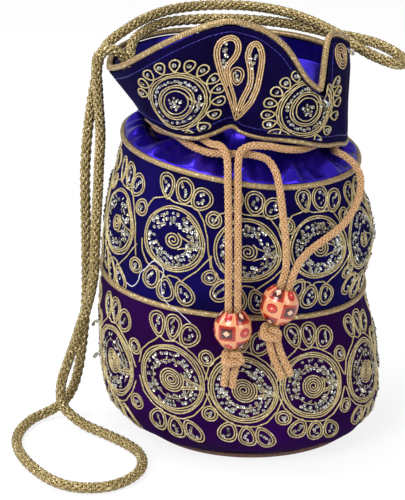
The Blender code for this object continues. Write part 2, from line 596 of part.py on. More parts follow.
def set_along(item, centre, direction):
    """Put an object's centre at a point, with its own Z axis along a direction."""
    turn = direction.to_track_quat("Z", "Y").to_matrix().to_4x4()
    item.matrix_world = Matrix.Translation(centre * MM) @ turn


def make_beads():
    for name, centre, axis in BEADS:
        half = BEAD_HALF_LENGTH * sqrt(1 - (BEAD_BORE_RADIUS / BEAD_RADIUS) ** 2)
        top = atan2(half / BEAD_HALF_LENGTH, BEAD_BORE_RADIUS / BEAD_RADIUS)
        data = bpy.data.meshes.new(name)
        bm = bmesh.new()
        outer = []
        for i in range(BEAD_PROFILE_STEPS + 1):
            angle = top - 2 * top * i / BEAD_PROFILE_STEPS
            outer.append(bm.verts.new((BEAD_RADIUS * cos(angle) * MM, 0, BEAD_HALF_LENGTH * sin(angle) * MM)))
        for pair in zip(outer, outer[1:]):
            bm.edges.new(pair)
        bm.edges.new((outer[-1], outer[0]))
        bm.to_mesh(data)
        bm.free()
        bead = add_object(name, data, bead_wood)
        turned = bead.modifiers.new("turned", "SCREW")
        turned.steps = turned.render_steps = BEAD_SEGMENTS
        turned.use_merge_vertices = True
        turned.merge_threshold = WELD
        direction = Vector(axis).normalized()
        set_along(bead, Vector(centre), direction)
        make_knot(name, Vector(centre) - direction * (half + GAP + KNOT_HALF_HEIGHT), direction)


def make_knot(bead_name, centre, direction):
    bpy.ops.mesh.primitive_uv_sphere_add(segments=KNOT_SEGMENTS, ring_count=KNOT_RINGS, radius=MM)
    lump = bpy.context.object
    lump.data.transform(Matrix.Diagonal((KNOT_RADIUS, KNOT_RADIUS, KNOT_HALF_HEIGHT, 1.0)))
    set_along(lump, centre, direction)
    lump.name = lump.data.name = bead_name.replace("bead", "knot")
    lump.data.materials.append(tan_cord)
    lump.data.shade_smooth()
    move_to_parts(lump)
    for number, tail in enumerate(TAILS[bead_name]):
        route = smooth_route(tail, TAIL_POINTS)
        tube = round_tube(f"{lump.name}_tail_{number}", route, DRAWSTRING_RADIUS, tan_cord)
        bpy.context.view_layer.update()
        mesh = bpy.data.meshes.new_from_object(tube.evaluated_get(bpy.context.evaluated_depsgraph_get()))
        cutter_name = tube.name
        bpy.data.objects.remove(tube)
        bm = bmesh.new()
        bm.from_mesh(mesh)
        bmesh.ops.remove_doubles(bm, verts=bm.verts, dist=WELD)
        bm.to_mesh(mesh)
        bm.free()
        cutter = bpy.data.objects.new(cutter_name, mesh)
        cutter.hide_render = True
        cutter.display_type = "WIRE"
        cutters.objects.link(cutter)
        joined = lump.modifiers.new(f"tail_{number}", "BOOLEAN")
        joined.operation = "UNION"
        joined.object = cutter


parts, cutters = clear_scene()
violet_velvet = material("violet_velvet", (0.030, 0.003, 0.105), 0.85)
blue_velvet = material("blue_velvet", (0.010, 0.004, 0.180), 0.85)
collar_velvet = material("collar_velvet", (0.008, 0.003, 0.120), 0.85)
satin = material("satin", (0.025, 0.010, 0.420), 0.35)
gold_piping = material("gold_piping", (0.560, 0.380, 0.160), 0.45, 0.5)
brown_piping = material("brown_piping", (0.230, 0.120, 0.080), 0.70)
gold_thread = material("gold_thread", (0.640, 0.520, 0.230), 0.40, 0.6)
tan_cord = material("tan_cord", (0.560, 0.310, 0.140), 0.75)
bead_wood = material("bead_wood", (0.800, 0.330, 0.120), 0.30)
rope_gold = material("rope_gold", (0.330, 0.240, 0.080), 0.55, 0.4)

make_base()
make_body()
make_lining()
make_neck()
make_collar()
make_embroidery()
make_drawstrings()
make_beads()
round_tube("carry_rope", smooth_route(ROPE_ROUTE, ROPE_STEPS), ROPE_RADIUS, rope_gold)
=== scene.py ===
"""The potli bag dressed over its frame, in soft studio light, from the camera of its photograph.

Sizes are in millimetres, as in the part's source, and become metres where a mesh is made.
"""
from math import cos, pi, radians, sin, sqrt
import bpy
import numpy as np
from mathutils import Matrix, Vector


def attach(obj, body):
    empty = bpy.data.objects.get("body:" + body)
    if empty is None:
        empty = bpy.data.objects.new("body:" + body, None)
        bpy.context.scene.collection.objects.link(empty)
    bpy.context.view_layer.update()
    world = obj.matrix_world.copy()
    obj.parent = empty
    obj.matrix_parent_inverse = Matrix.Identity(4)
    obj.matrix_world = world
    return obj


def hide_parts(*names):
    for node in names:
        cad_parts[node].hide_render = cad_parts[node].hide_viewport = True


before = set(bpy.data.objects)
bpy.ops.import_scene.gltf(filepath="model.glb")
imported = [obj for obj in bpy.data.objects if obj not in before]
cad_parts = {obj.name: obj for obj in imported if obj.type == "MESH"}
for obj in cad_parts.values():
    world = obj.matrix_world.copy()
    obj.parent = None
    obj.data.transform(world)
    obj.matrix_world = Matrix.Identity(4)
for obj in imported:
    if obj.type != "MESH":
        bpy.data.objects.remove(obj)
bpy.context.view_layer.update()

MM = 0.001
rng = np.random.default_rng(11)

# Camera of the photograph
AIM = Vector((-0.020, 0.0, 0.0964))
CAMERA_DISTANCE = 1.2
CAMERA_TILT = radians(19.5)

# Cords: the routes of the part's source
ROUTE_STEPS = 12
TURN_POINTS = 13
TURN_SIDE_DROP = 7.0
INNER_TURN = (45.3, 174.5)
OUTER_TURN = (49.0, 171.4)
LEFT_ROUTE_OUT = [
    (-6.9, -86.4, 75.1), (-6.9, -85.9, 85), (-6.9, -85.2, 98), (-6.9, -84.2, 118), (-6.9, -81.8, 130),
    (-7, -77, 143), (-7.2, -71.8, 155), (-7.3, -69.6, 161), (-7.5, -67.6, 167), (-8.6, -64.6, 171.4),
    (-11.2, -59.8, 173.2), (-15.5, -53.6, 172.2), (-20, -47.6, 173.2), (-26.2, -40, 174.6)]
LEFT_TURN_ANGLES = (-50.0, -300.0)
LEFT_ROUTE_BACK = [
    (38, -33, 165.6), (31, -44.5, 166.9), (22, -54.5, 169.8), (12, -59.5, 173), (4, -62.3, 173.8),
    (-0.8, -65.2, 172), (-2.1, -67.6, 167), (-2.3, -69.6, 161), (-2.3, -71.8, 155), (-2.3, -77, 143),
    (-2.3, -81.8, 130), (-2.3, -84.2, 118), (-2.3, -85.2, 98), (-2.3, -85.9, 85), (-2.3, -86.4, 75.1)]
RIGHT_ROUTE_OUT = [
    (14.1, -83, 88), (16.7, -83, 97.3), (19.3, -83, 106.6), (21.8, -83, 116), (21.8, -81.2, 128),
    (20.3, -77.3, 142), (18.6, -71.6, 154.5), (16.6, -66.5, 161.8), (12.6, -62.5, 166.6), (6, -60.2, 168.4),
    (-2, -59, 168.6), (-9.5, -57.8, 168.4), (-15.5, -56, 168.2), (-21, -51.6, 168.4), (-26.8, -45.6, 169.6)]
RIGHT_TURN_ANGLES = (-47.0, -296.0)
RIGHT_ROUTE_BACK = [
    (49, -29.5, 161), (53.8, -33.2, 159.4), (58.4, -35.6, 155.8), (61.4, -38, 150), (61, -42, 142.5),
    (57.4, -48.8, 135.4), (51.4, -56.6, 129.6), (43, -64.6, 125.6), (35.6, -72, 122.6), (29.6, -79, 119),
    (26.2, -82.8, 114), (23.6, -83, 105.4), (21.1, -83, 96), (18.6, -83, 86.8)]
ROPE_ROUTE = [
    (-58.2, 12, 197), (-57.8, 19, 205), (-52, 33, 208.8), (-41, 47.5, 210.4), (-24, 56.5, 210.2),
    (-8, 59.6, 209.8), (8, 59.4, 209.2), (24, 55.6, 208.4), (38, 47.4, 207.6), (50, 35.6, 207.4),
    (62, 25.6, 207.6), (74, 17.4, 206), (83.2, 9.4, 202.6), (86.6, 0, 200.6), (81.4, -7, 201.6),
    (71, -4.4, 204.6), (62, 3.6, 207.8), (55, 13.6, 210.4), (47.4, 26, 212.2), (36, 41, 214.2),
    (22, 54.4, 215.6), (6, 61.6, 216.4), (-10, 63.4, 216.6), (-26, 59, 216.8), (-40, 49.5, 216.6),
    (-53, 36.6, 214.4), (-62.6, 26, 210.8), (-69.8, 18.5, 206.6), (-74.4, 13.6, 200), (-76.6, 8.5, 188.9),
    (-79.2, 6, 174.8), (-81.5, 4.4, 157.6), (-82.8, 3.8, 138), (-82.9, 3.4, 112.4), (-83, 3.4, 87.7),
    (-83.3, 3.6, 70.8), (-84.6, 4, 54.3), (-86.3, 4, 39.5), (-88.4, 3, 26.3), (-91.3, 1, 16.3),
    (-95.9, -2, 9.2), (-101.4, -4.2, 5.5), (-107.2, -7.4, 3.6), (-112.6, -13, 3.1), (-118, -26.6, 3.1),
    (-119.7, -40, 3.1), (-118.5, -50.8, 3.1), (-114.3, -64.3, 3.1), (-107.1, -78.7, 3.1), (-98, -91.2, 3.1),
    (-89, -98.2, 3.1), (-78.5, -100.8, 3.1), (-67.4, -98.6, 3.1), (-58.6, -91.2, 3.1), (-52.9, -80.7, 3.1),
    (-51.6, -67.9, 3.1), (-54.3, -56.9, 3.1), (-60, -47.6, 3.1), (-67.3, -39.1, 3.1), (-75.7, -30.6, 3.1),
    (-84, -23.8, 4), (-90.5, -19.6, 7), (-95.2, -16.6, 10.8), (-97.2, -14.2, 15), (-97.4, -12.6, 20.4),
    (-96.1, -12, 27.2), (-93.7, -12.5, 34.5), (-91.1, -13.5, 42.5), (-88.1, -15, 51.3), (-85.1, -17, 61.3),
    (-81.8, -19, 71.3), (-79.4, -20.5, 81), (-77.8, -21, 90.3), (-77.2, -20.5, 100.8),
    (-76.4, -16.5, 117.4), (-75.4, -12.5, 132.8), (-74.7, -9, 147.2), (-73.9, -6, 160.7), (-74, -4.6, 168),
    (-74.6, -3.4, 177.5), (-75, -3, 188), (-75.4, -3, 198.6), (-74, -3, 205.4), (-67.9, -3, 208.4),
    (-61.6, -2.8, 205), (-59.4, -2.6, 197)]
# Braids: strands each way round, radius of their middle, their own radius, the share of it that they
# weave by, the length of one turn and the sides of each strand
ROPE_BRAID = {"strands": 5, "middle": 1.85, "radius": 0.84, "weave": 0.4, "turn": 22.0, "sides": 5}
DRAWSTRING_BRAID = {"strands": 5, "middle": 1.4, "radius": 0.5, "weave": 0.35, "turn": 12.5, "sides": 4}
ROPE_STEP, DRAWSTRING_STEP = 1.0, 0.5
CORE_SIDES = 8
CORE_OVERLAP = 0.3

# Beads and knots
BEAD_RADIUS = 9.8
BEAD_HALF_LENGTH = 11.0
BEAD_BORE_RADIUS = 4.85
BEAD_END = BEAD_HALF_LENGTH * sqrt(1 - (BEAD_BORE_RADIUS / BEAD_RADIUS) ** 2)
BEAD_COLUMNS, BEAD_ROWS = 48, 29
# The bead's print: degrees round it for each cell, the first cell, the middle of its height, cells up it
PRINT_CELL, PRINT_START, PRINT_MIDDLE, PRINT_ROWS = 60, 5.5, 1.5, 1.33
BEADS = {"left": ((-4.6, -85.95, 84.8), (0.0, 0.05, 1.0), -21.0),
         "right": ((18.8, -83.0, 96.6), (0.27, 0.0, 0.963), 34.0)}
KNOT_HALF_HEIGHT = 5.6
KNOT_REACH = (1.5, 1.5, 2.5)
WRAP_RADIUS, WRAP_RISE, WRAP_DROP = 4.3, 0.9, 2.3
KNOT_POINTS = 140
TAIL_END_RADIUS, TAIL_END_LENGTH, TAIL_END_SET_BACK = 2.1, 1.3, 0.8
GAP = 0.3
TAILS = {"left": [[(-6.6, -86.4, 68.0), (-8.4, -86.6, 59.0), (-9.0, -86.8, 54.0)],
                  [(-2.8, -86.4, 68.0), (-4.2, -86.6, 59.0), (-4.8, -86.8, 53.0)]],
         "right": [[(13.6, -83.2, 80.0), (15.4, -83.6, 70.0), (19.0, -84.2, 61.5),
                    (21.0, -84.4, 57.0)],
                   [(16.9, -83.0, 80.0), (19.6, -83.2, 71.0), (23.2, -83.6, 63.0),
                    (25.2, -83.8, 58.5)]]}

# Form of the cloth, as in the part's source
MIDDLE_SEAM, TOP_SEAM = 85.0, 157.0
MIDDLE_WIDTH, TOP_WIDTH = 70.2, 62.0
LOWER_OUTLINE = [
    (2, 56.4), (2.9, 57.9), (6, 63.5), (11, 69.5), (19, 74), (32, 75.7), (50, 75.2), (68, 72.8),
    (83.2, 70.3), (MIDDLE_SEAM, MIDDLE_WIDTH)]
UPPER_OUTLINE = [
    (MIDDLE_SEAM, MIDDLE_WIDTH), (86.8, 70.2), (98, 70.9), (112, 71.6), (126, 69.6), (140, 65.2),
    (155.2, 62.2), (TOP_SEAM, TOP_WIDTH)]
CENTRE_X = [(0.0, 6.0), (20.0, 1.2), (45.0, -0.3), (MIDDLE_SEAM, -3.5), (120.0, 0.2),
            (TOP_SEAM, 0.4), (170.0, 3.0)]
TILT = [(0.0, 0.0), (30.0, 0.045), (MIDDLE_SEAM, 0.076), (TOP_SEAM, 0.111), (176.0, 0.111)]
DEPTH_RATIO = [(0.0, 1.0), (MIDDLE_SEAM, 1.0), (TOP_SEAM, 1.07), (170.0, 1.0)]
SECTION_POWER = 2.2
PANEL_COLUMNS = 256
FRONT_DIP, FRONT_DIP_ANGLE, FRONT_DIP_SPREAD = 2.2, 12.0, 28.0
FRONT_DIP_START, FRONT_DIP_END = 140.0, 169.0
# Neck rows: half-width, height, share of the side drop, depth and rise of the gathers, and puff of the
# left side
NECK_ROWS = [(61.6, 157.4, 0.0, 0.1, 0.0, 0.0), (61.3, 158.8, 0.0, 0.5, 0.2, 1.0),
             (59.0, 160.3, 0.15, 1.4, 1.0, 3.4), (55.0, 162.8, 0.35, 2.0, 1.7, 4.2),
             (49.5, 166.0, 0.7, 1.5, 1.6, 0.6), (45.0, 169.0, 0.9, 0.9, 0.8, 0.0),
             (42.0, 172.6, 1.0, 0.8, 0.0, 0.0), (41.3, 177.0, 1.0, 0.9, 0.0, 0.0),
             (43.5, 184.0, 1.0, 0.7, 0.0, 0.0)]
# Angles, to the left of the front, over which the puff comes in and fades out
PUFF_ANGLES, PUFF_SHARES = (-180.0, -140.0, -80.0, -45.0), (0.0, 1.0, 1.0, 0.0)
NECK_SIDE_DROP = 7.0
NECK_TOP_Z = 191.0
GATHERS = 15
GATHER_SHARE = 0.8
NECK_FINE_ROWS = 44
COLLAR_HEM = [
    (-180, 171), (-135, 172.5), (-90, 171.5), (-72, 174.5), (-45, 175.2), (-28, 176.2), (-19, 178.6),
    (-9, 182), (-4, 178.8), (3, 177.6), (22, 175.2), (46, 168.6), (60, 166), (74, 162.5), (90, 161.5),
    (135, 167), (180, 171)]
COLLAR_RIM = [
    (-180, 201.5), (-150, 202), (-120, 200.5), (-97, 199), (-83, 198), (-72, 200.6), (-60, 204.7),
    (-50, 210.1), (-40, 216.5), (-30, 223), (-20, 228.6), (-10, 233.2), (0, 235.4), (8, 233.6), (15, 230.6),
    (20, 226.6), (25, 221.7), (30, 214.1), (35, 205.6), (40, 200), (45, 196.4), (48.75, 195), (52.5, 222.5),
    (56, 223.2), (60, 221.7), (65, 219.8), (70, 217.5), (75, 216), (80, 213.5), (90, 206), (100, 200.5),
    (115, 200), (150, 201), (180, 201.5)]
COLLAR_BULGE = [
    (-180, 0), (-60, 0), (-28, 4.5), (-9, -4), (10, 2), (28, 2.5), (60, 0), (180, 0)]
HEM_HALF_WIDTH, HEM_CENTRE_X = 53.8, 3.0
RIM_HALF_WIDTH, RIM_HALF_DEPTH, RIM_CENTRE_X = 63.0, 61.0, -6.0
BULGE_FADE = 1.5
LINING_DEPTH = 2.2
LINING_THICKNESS = 0.8
COLLAR_REACH = 58.0
COLLAR_MARGINS = (0.035, 0.955)
RIM_STEPS = 96
COLLAR_COLUMNS = 384
# The collar opened out flat: the radius that its angles stand for, and the points along its edges
OPENED_RADIUS = 60.0
EDGE_POINTS = 721
STITCH_INSET = 3.2
STITCH_GROOVE = 0.7
PADDING_FADE = 4.0
SEAM_PIPING_RADIUS = 1.5
SMALL_PIPING_RADIUS = 1.3
PIPING_PROUD = 0.5
SEAM_POINTS = 300
BASE_CENTRE_X, BASE_SEAM_RADIUS, BASE_POINTS = 6.0, 57.3, 200
# Cloth texture: the radius whose girth it runs round, and mm for each row
TEXTURE_RADIUS, TEXTURE_ROW = 65.0, 1.5

# Embroidery
THREAD_RADIUS = 0.37
THREAD_SIDES = 5
THREAD_STEP = 0.9
LINE_SPACING = 1.3
SEQUIN_RADIUS = 1.0
SEQUIN_SIDES = 8
SEQUIN_HOLE = 0.3
SEQUIN_LEAN = 0.28
PETAL_FULLNESS = (1.15, 1.08)
CIRCLE_WOBBLE = 0.012
GARLAND_LIFT = 0.3
COLLAR_MOTIF_LIFT = 0.15
LOOP_REACH = 22.4
UPPER_MEDALLIONS = [
    (2.1, 121.4), (32.5, 123.3), (61.6, 121.1), (91, 121), (120.5, 121), (150, 121), (179.5, 121),
    (-151, 121), (-121.5, 121), (-92, 120), (-61.9, 118.1), (-28.3, 121.5)]
LOWER_MEDALLIONS = [
    (1.3, 46.4), (29.5, 47.5), (60.1, 45.8), (90, 46.5), (120, 46.5), (150, 46.5), (180, 46.5),
    (-150, 46.5), (-120, 46.5), (-90, 46), (-59.5, 44.9), (-27.5, 47.6)]
LOOSE_THREAD = [
    (-59.9, -45, 95.2), (-56.1, -49.6, 94.1), (-52.8, -53, 98.7), (-51.8, -54, 103), (-49, -56.4, 106.5),
    (-44.9, -60, 111.7), (-42.3, -61.5, 111.7), (-39.7, -62.9, 107.8), (-40.8, -61.9, 101.4),
    (-40.3, -61.8, 93.8), (-37.8, -63, 89.8), (-32.6, -67.3, 87.5), (-29.5, -66.6, 84),
    (-25.9, -68.3, 80.9)]


def curve_of(table):
    """Smooth curve through (place, value) that never overshoots, for arrays of places."""
    places, values = (np.array(column, float) for column in zip(*table))
    steps = np.diff(values) / np.diff(places)
    before, after = steps[:-1], steps[1:]
    turning = before * after <= 0
    slopes = np.zeros(len(places))
    slopes[1:-1] = np.where(turning, 0.0, 2 * before * after / np.where(turning, 1.0, before + after))

    def at(place):
        place = np.clip(place, places[0], places[-1])
        left = np.clip(np.searchsorted(places, place) - 1, 0, len(places) - 2)
        span = places[left + 1] - places[left]
        t = (place - places[left]) / span
        return ((2 * t ** 3 - 3 * t ** 2 + 1) * values[left] + (t ** 3 - 2 * t ** 2 + t) * slopes[left] * span
                + (3 * t ** 2 - 2 * t ** 3) * values[left + 1] + (t ** 3 - t ** 2) * slopes[left + 1] * span)
    return at


centre_x, tilt, depth_ratio = curve_of(CENTRE_X), curve_of(TILT), curve_of(DEPTH_RATIO)
collar_hem, collar_rim, collar_bulge = curve_of(COLLAR_HEM), curve_of(COLLAR_RIM), curve_of(COLLAR_BULGE)
lower_width, upper_width = curve_of(LOWER_OUTLINE), curve_of(UPPER_OUTLINE)


def in_degrees(theta):
    return (np.degrees(theta) + 180) % 360 - 180


def section_radius(theta, half_width, half_depth):
    across = np.abs(np.sin(theta) / half_width) ** SECTION_POWER
    along = np.abs(np.cos(theta) / half_depth) ** SECTION_POWER
    return (across + along) ** (-1 / SECTION_POWER)


def stacked(x, y, z):
    return np.stack(np.broadcast_arrays(x, y, z), axis=-1)


def body_point(theta, half_width, height, side_drop=0.0):
    radius = section_radius(theta, half_width, half_width * depth_ratio(height))
    x = centre_x(height) + radius * np.sin(theta)
    dip = FRONT_DIP * np.exp(-((in_degrees(theta) - FRONT_DIP_ANGLE) / FRONT_DIP_SPREAD) ** 2)
    dip = dip * np.clip((height - FRONT_DIP_START) / (TOP_SEAM - FRONT_DIP_START), 0, 1)
    dip = dip * np.clip((FRONT_DIP_END - height) / (FRONT_DIP_END - TOP_SEAM), 0, 1)
    z = height - tilt(height) * x - dip - side_drop * np.sin(theta) ** 2
    return stacked(x, -radius * np.cos(theta), z)


def cloth_relief(theta, height):
    """Slight puckers where the embroidery draws the velvet in."""
    return (0.22 * np.sin(9 * theta + height / 9) + 0.18 * np.sin(17 * theta - height / 6 + 1)
            + 0.12 * np.sin(31 * theta + height / 4 + 2))


def cloth_point(outline, theta, height, lift=0.0):
    """A point of a velvet panel, lifted at right angles to it."""
    slope = outline(height + 0.5) - outline(height - 0.5)
    out = (lift + cloth_relief(theta, height)) / np.sqrt(1 + slope ** 2)
    return body_point(theta, outline(height) + out, height - out * slope)


def collar_point(theta, share, depth=0.0):
    angle = in_degrees(theta)
    half_width = HEM_HALF_WIDTH + (RIM_HALF_WIDTH - HEM_HALF_WIDTH) * share
    half_depth = HEM_HALF_WIDTH + (RIM_HALF_DEPTH - HEM_HALF_WIDTH) * share
    radius = section_radius(theta, half_width, half_depth)
    radius = radius + collar_bulge(angle) * np.clip(1.0 - share, 0, None) ** BULGE_FADE - depth
    x = HEM_CENTRE_X + (RIM_CENTRE_X - HEM_CENTRE_X) * share + radius * np.sin(theta)
    z = collar_hem(angle) + (collar_rim(angle) - collar_hem(angle)) * share
    return stacked(x, -radius * np.cos(theta), z)


def collar_share(theta, z):
    angle = in_degrees(theta)
    return (z - collar_hem(angle)) / (collar_rim(angle) - collar_hem(angle))


def round_angles(count):
    return np.arange(count) * 2 * pi / count


def turns(count):
    return round_angles(count) - pi


def unit(vectors):
    return vectors / np.linalg.norm(vectors, axis=-1, keepdims=True)


def between(start, end, start_at, end_at, t):
    return start * (end_at - t) / (end_at - start_at) + end * (t - start_at) / (end_at - start_at)


def smooth_route(points, step):
    """Evenly spaced points on a smooth curve through a route's own points."""
    knots = np.array(points, float)
    knots = np.vstack((2 * knots[0] - knots[1], knots, 2 * knots[-1] - knots[-2]))
    dense = []
    for p0, p1, p2, p3 in zip(knots, knots[1:], knots[2:], knots[3:]):
        t1 = sqrt(np.linalg.norm(p1 - p0))
        t2 = t1 + sqrt(np.linalg.norm(p2 - p1))
        t3 = t2 + sqrt(np.linalg.norm(p3 - p2))
        for share in np.arange(ROUTE_STEPS) / ROUTE_STEPS:
            t = t1 + (t2 - t1) * share
            a1, a2, a3 = between(p0, p1, 0, t1, t), between(p1, p2, t1, t2, t), between(p2, p3, t2, t3, t)
            b1, b2 = between(a1, a2, 0, t2, t), between(a2, a3, t1, t3, t)
            dense.append(between(b1, b2, t1, t2, t))
    dense.append(knots[-2])
    return resampled(np.array(dense), step)


def lengths_along(path):
    return np.concatenate(([0.0], np.cumsum(np.linalg.norm(np.diff(path, axis=0), axis=1))))


def resampled(path, step):
    at = lengths_along(path)
    places = np.linspace(0, at[-1], max(3, round(at[-1] / step) + 1))
    return np.stack([np.interp(places, at, path[:, axis]) for axis in range(path.shape[1])], axis=1)


def directions(path, closed=False):
    if closed:
        return unit(np.roll(path, -1, axis=0) - np.roll(path, 1, axis=0))
    return unit(np.gradient(path, axis=0))


def frames_along(path, closed=False):
    """Direction, side and up at each point, turned as little as can be from one to the next."""
    along = directions(path, closed)
    side = np.zeros_like(along)
    side[0] = unit(np.cross(along[0], (0.31, 0.17, 0.93)))
    for i in range(1, len(path)):
        side[i] = unit(side[i - 1] - along[i] * side[i - 1].dot(along[i]))
    return along, side, np.cross(along, side)


def ring_faces(rows, columns, closed=False):
    """Row, column and point numbers of the faces of a grid that closes round its columns."""
    steps = np.arange(rows if closed else rows - 1)
    row, column = (grid.ravel() for grid in np.meshgrid(steps, np.arange(columns), indexing="ij"))
    after, beside = (row + 1) % rows, (column + 1) % columns
    faces = np.stack((row * columns + column, row * columns + beside,
                      after * columns + beside, after * columns + column), axis=1)
    return row, column, faces


def face_corners(left, right, bottom, top):
    """Texture corners of faces, in the order of their points."""
    return np.stack((np.stack((left, right, right, left), axis=1),
                     np.stack((bottom, bottom, top, top), axis=1)), axis=2)


def tube(path, side, up, radius, sides, closed=False):
    """Points, faces and the faces' texture corners of a tube; the texture runs in mm and turns."""
    around = round_angles(sides)
    radius = np.broadcast_to(radius, len(path))[:, None, None]
    rings = (path[:, None] + radius * (side[:, None] * np.cos(around)[None, :, None]
                                       + up[:, None] * np.sin(around)[None, :, None]))
    row, column, faces = ring_faces(len(path), sides, closed)
    along = lengths_along(np.vstack((path, path[:1])))
    corners = face_corners(column / sides, (column + 1) / sides, along[row], along[row + 1])
    return rings.reshape(-1, 3), faces, corners[:, :, ::-1]


def joined(parts):
    points, faces, corners, offset = [], [], [], 0
    for part_points, part_faces, part_corners in parts:
        points.append(part_points)
        faces.append(part_faces + offset)
        corners.append(part_corners)
        offset += len(part_points)
    return np.vstack(points), np.vstack(faces), np.concatenate(corners)


def braid(path, strands, middle, radius, weave, turn, sides):
    """A round braid on a core coloured dark as painted shade between the strands: strands both ways round a
    path, each over and under the next.
    """
    _, side, up = frames_along(path)
    at = lengths_along(path)[:, None]
    parts = [(tube(path, side, up, middle - CORE_OVERLAP * radius, CORE_SIDES), 1)]
    for way in (1, -1):
        for k in range(strands):
            angle = way * 2 * pi * at / turn + 2 * pi * k / strands
            out = side * np.cos(angle) + up * np.sin(angle)
            strand = path + out * (middle + way * weave * radius * np.cos(strands * 2 * pi * at / turn))
            along = directions(strand)
            out = unit(out - along * np.sum(out * along, axis=1, keepdims=True))
            parts.append((tube(strand, out, np.cross(along, out), radius, sides), 0))
    return parts


def add_braids(name, parts, looks):
    marks = np.concatenate([np.full(len(shape[1]), mark) for shape, mark in parts])
    return add_mesh(name, joined([shape for shape, _ in parts]), looks, marks)


def linked(name, data):
    made = bpy.data.objects.new(name, data)
    bpy.context.scene.collection.objects.link(made)
    return made


def add_mesh(name, shape, looks, face_looks=None):
    points, faces, corners = shape
    mesh = bpy.data.meshes.new(name)
    mesh.from_pydata((points * MM).tolist(), [], faces.tolist())
    mesh.uv_layers.new(name="UVMap").data.foreach_set("uv", corners.astype(np.float32).ravel())
    for look in looks:
        mesh.materials.append(look)
    if face_looks is not None:
        mesh.polygons.foreach_set("material_index", face_looks.astype(np.int32))
    mesh.polygons.foreach_set("use_smooth", np.full(len(faces), True))
    mesh.update()
    return linked(name, mesh)


def dress(piece, body, slot, *nodes):
    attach(piece, body)
    if nodes:
        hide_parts(*nodes)
    return piece


def grid_shape(points):
    """Points in rows and closed columns as a shape, with texture corners in mm."""
    rows, columns = points.shape[:2]
    row, column, faces = ring_faces(rows, columns)
    girth = 2 * pi * TEXTURE_RADIUS
    corners = face_corners(column / columns * girth, (column + 1) / columns * girth,
                           row * TEXTURE_ROW, (row + 1) * TEXTURE_ROW)
    return points.reshape(-1, 3), faces, corners


# Materials
def plug(tree, socket, value):
    if isinstance(value, bpy.types.NodeSocket):
        tree.links.new(value, socket)
    else:
        socket.default_value = value


class Look:
    """A procedural material: its shader and the nodes that feed it."""

    def __init__(self, name, **inputs):
        self.material = bpy.data.materials.new(name)
        self.material.use_nodes = True
        self.tree = self.material.node_tree
        self.shader = self.tree.nodes["Principled BSDF"]
        for key, value in inputs.items():
            self.feed(key.replace("_", " "), value)

    def feed(self, key, value):
        plug(self.tree, self.shader.inputs[key], value)

    def node(self, kind, inputs, output=0, **settings):
        made = self.tree.nodes.new("ShaderNode" + kind)
        for key, value in settings.items():
            setattr(made, key, value)
        for key, value in inputs.items():
            plug(self.tree, made.inputs[key], value)
        return made.outputs[output]

    def coordinates(self, kind):
        return self.node("TexCoord", {}, output=kind)

    def math(self, operation, *values):
        return self.node("Math", dict(enumerate(values)), operation=operation)

    def noise(self, scale, detail=2.0, stretch=(1.0, 1.0, 1.0)):
        vector = self.node("Mapping", {"Vector": self.coordinates("Object"), "Scale": stretch})
        return self.node("TexNoise", {"Vector": vector, "Scale": scale, "Detail": detail}, output="Fac")

    def uv(self, axis):
        return self.node("SeparateXYZ", {"Vector": self.coordinates("UV")}, output=axis)

    def stripes(self, length, per_turn, sharp):
        """Waves of a length in mm along a tube, wound so many times for each turn round it."""
        along = self.math("MULTIPLY", self.uv("X"), 2 * pi / length)
        phase = self.math("MULTIPLY_ADD", self.uv("Y"), 2 * pi * per_turn, along)
        wave = self.math("MULTIPLY_ADD", self.math("SINE", phase), 0.5, 0.5)
        return self.math("POWER", wave, sharp)

    def ramp(self, value, stops):
        made = self.tree.nodes.new("ShaderNodeValToRGB")
        elements = made.color_ramp.elements
        while len(elements) < len(stops):
            elements.new(0.5)
        for element, (place, colour) in zip(elements, stops):
            element.position = place
            element.color = (*colour, 1.0)
        self.tree.links.new(value, made.inputs["Fac"])
        return made.outputs["Color"]

    def mix(self, share, first, second):
        made = self.tree.nodes.new("ShaderNodeMix")
        made.data_type = "RGBA"
        for socket, value in ((made.inputs[0], share), (made.inputs[6], first), (made.inputs[7], second)):
            if isinstance(value, tuple):
                value = (*value, 1.0)
            plug(self.tree, socket, value)
        return made.outputs[2]

    def bump(self, height, strength, distance):
        self.feed("Normal", self.node("Bump", {"Height": height, "Strength": strength,
                                               "Distance": distance * MM}))


def velvet(name, dark, light, sheen):
    look = Look(name, Roughness=0.85, Sheen_Weight=0.03, Sheen_Roughness=0.4, Sheen_Tint=(*sheen, 1.0),
                Specular_IOR_Level=0.04)
    patches = look.noise(38.0, 3.0)
    pile = look.noise(900.0, 2.0)
    colour = look.ramp(patches, [(0.35, dark), (0.68, light)])
    colour = look.mix(look.math("MULTIPLY", pile, 0.6), colour, tuple(0.45 * c for c in dark))
    look.feed("Base Color", colour)
    look.bump(look.noise(1700.0, 2.0), 0.35, 0.25)
    return look.material


def satin_look(name, deep, bright):
    look = Look(name, Metallic=0.85)
    # Upright streaks of deeper and brighter base colour: painted shade and sheen of the satin's folds.
    wave = look.noise(55.0, 2.0, stretch=(1.0, 1.0, 0.35))
    look.feed("Base Color", look.ramp(wave, [(0.3, deep), (0.72, bright)]))
    weave = look.noise(3200.0, 1.0, stretch=(1.0, 1.0, 0.12))
    look.feed("Roughness", look.math("MULTIPLY_ADD", weave, 0.1, 0.22))
    look.bump(weave, 0.12, 0.08)
    return look.material


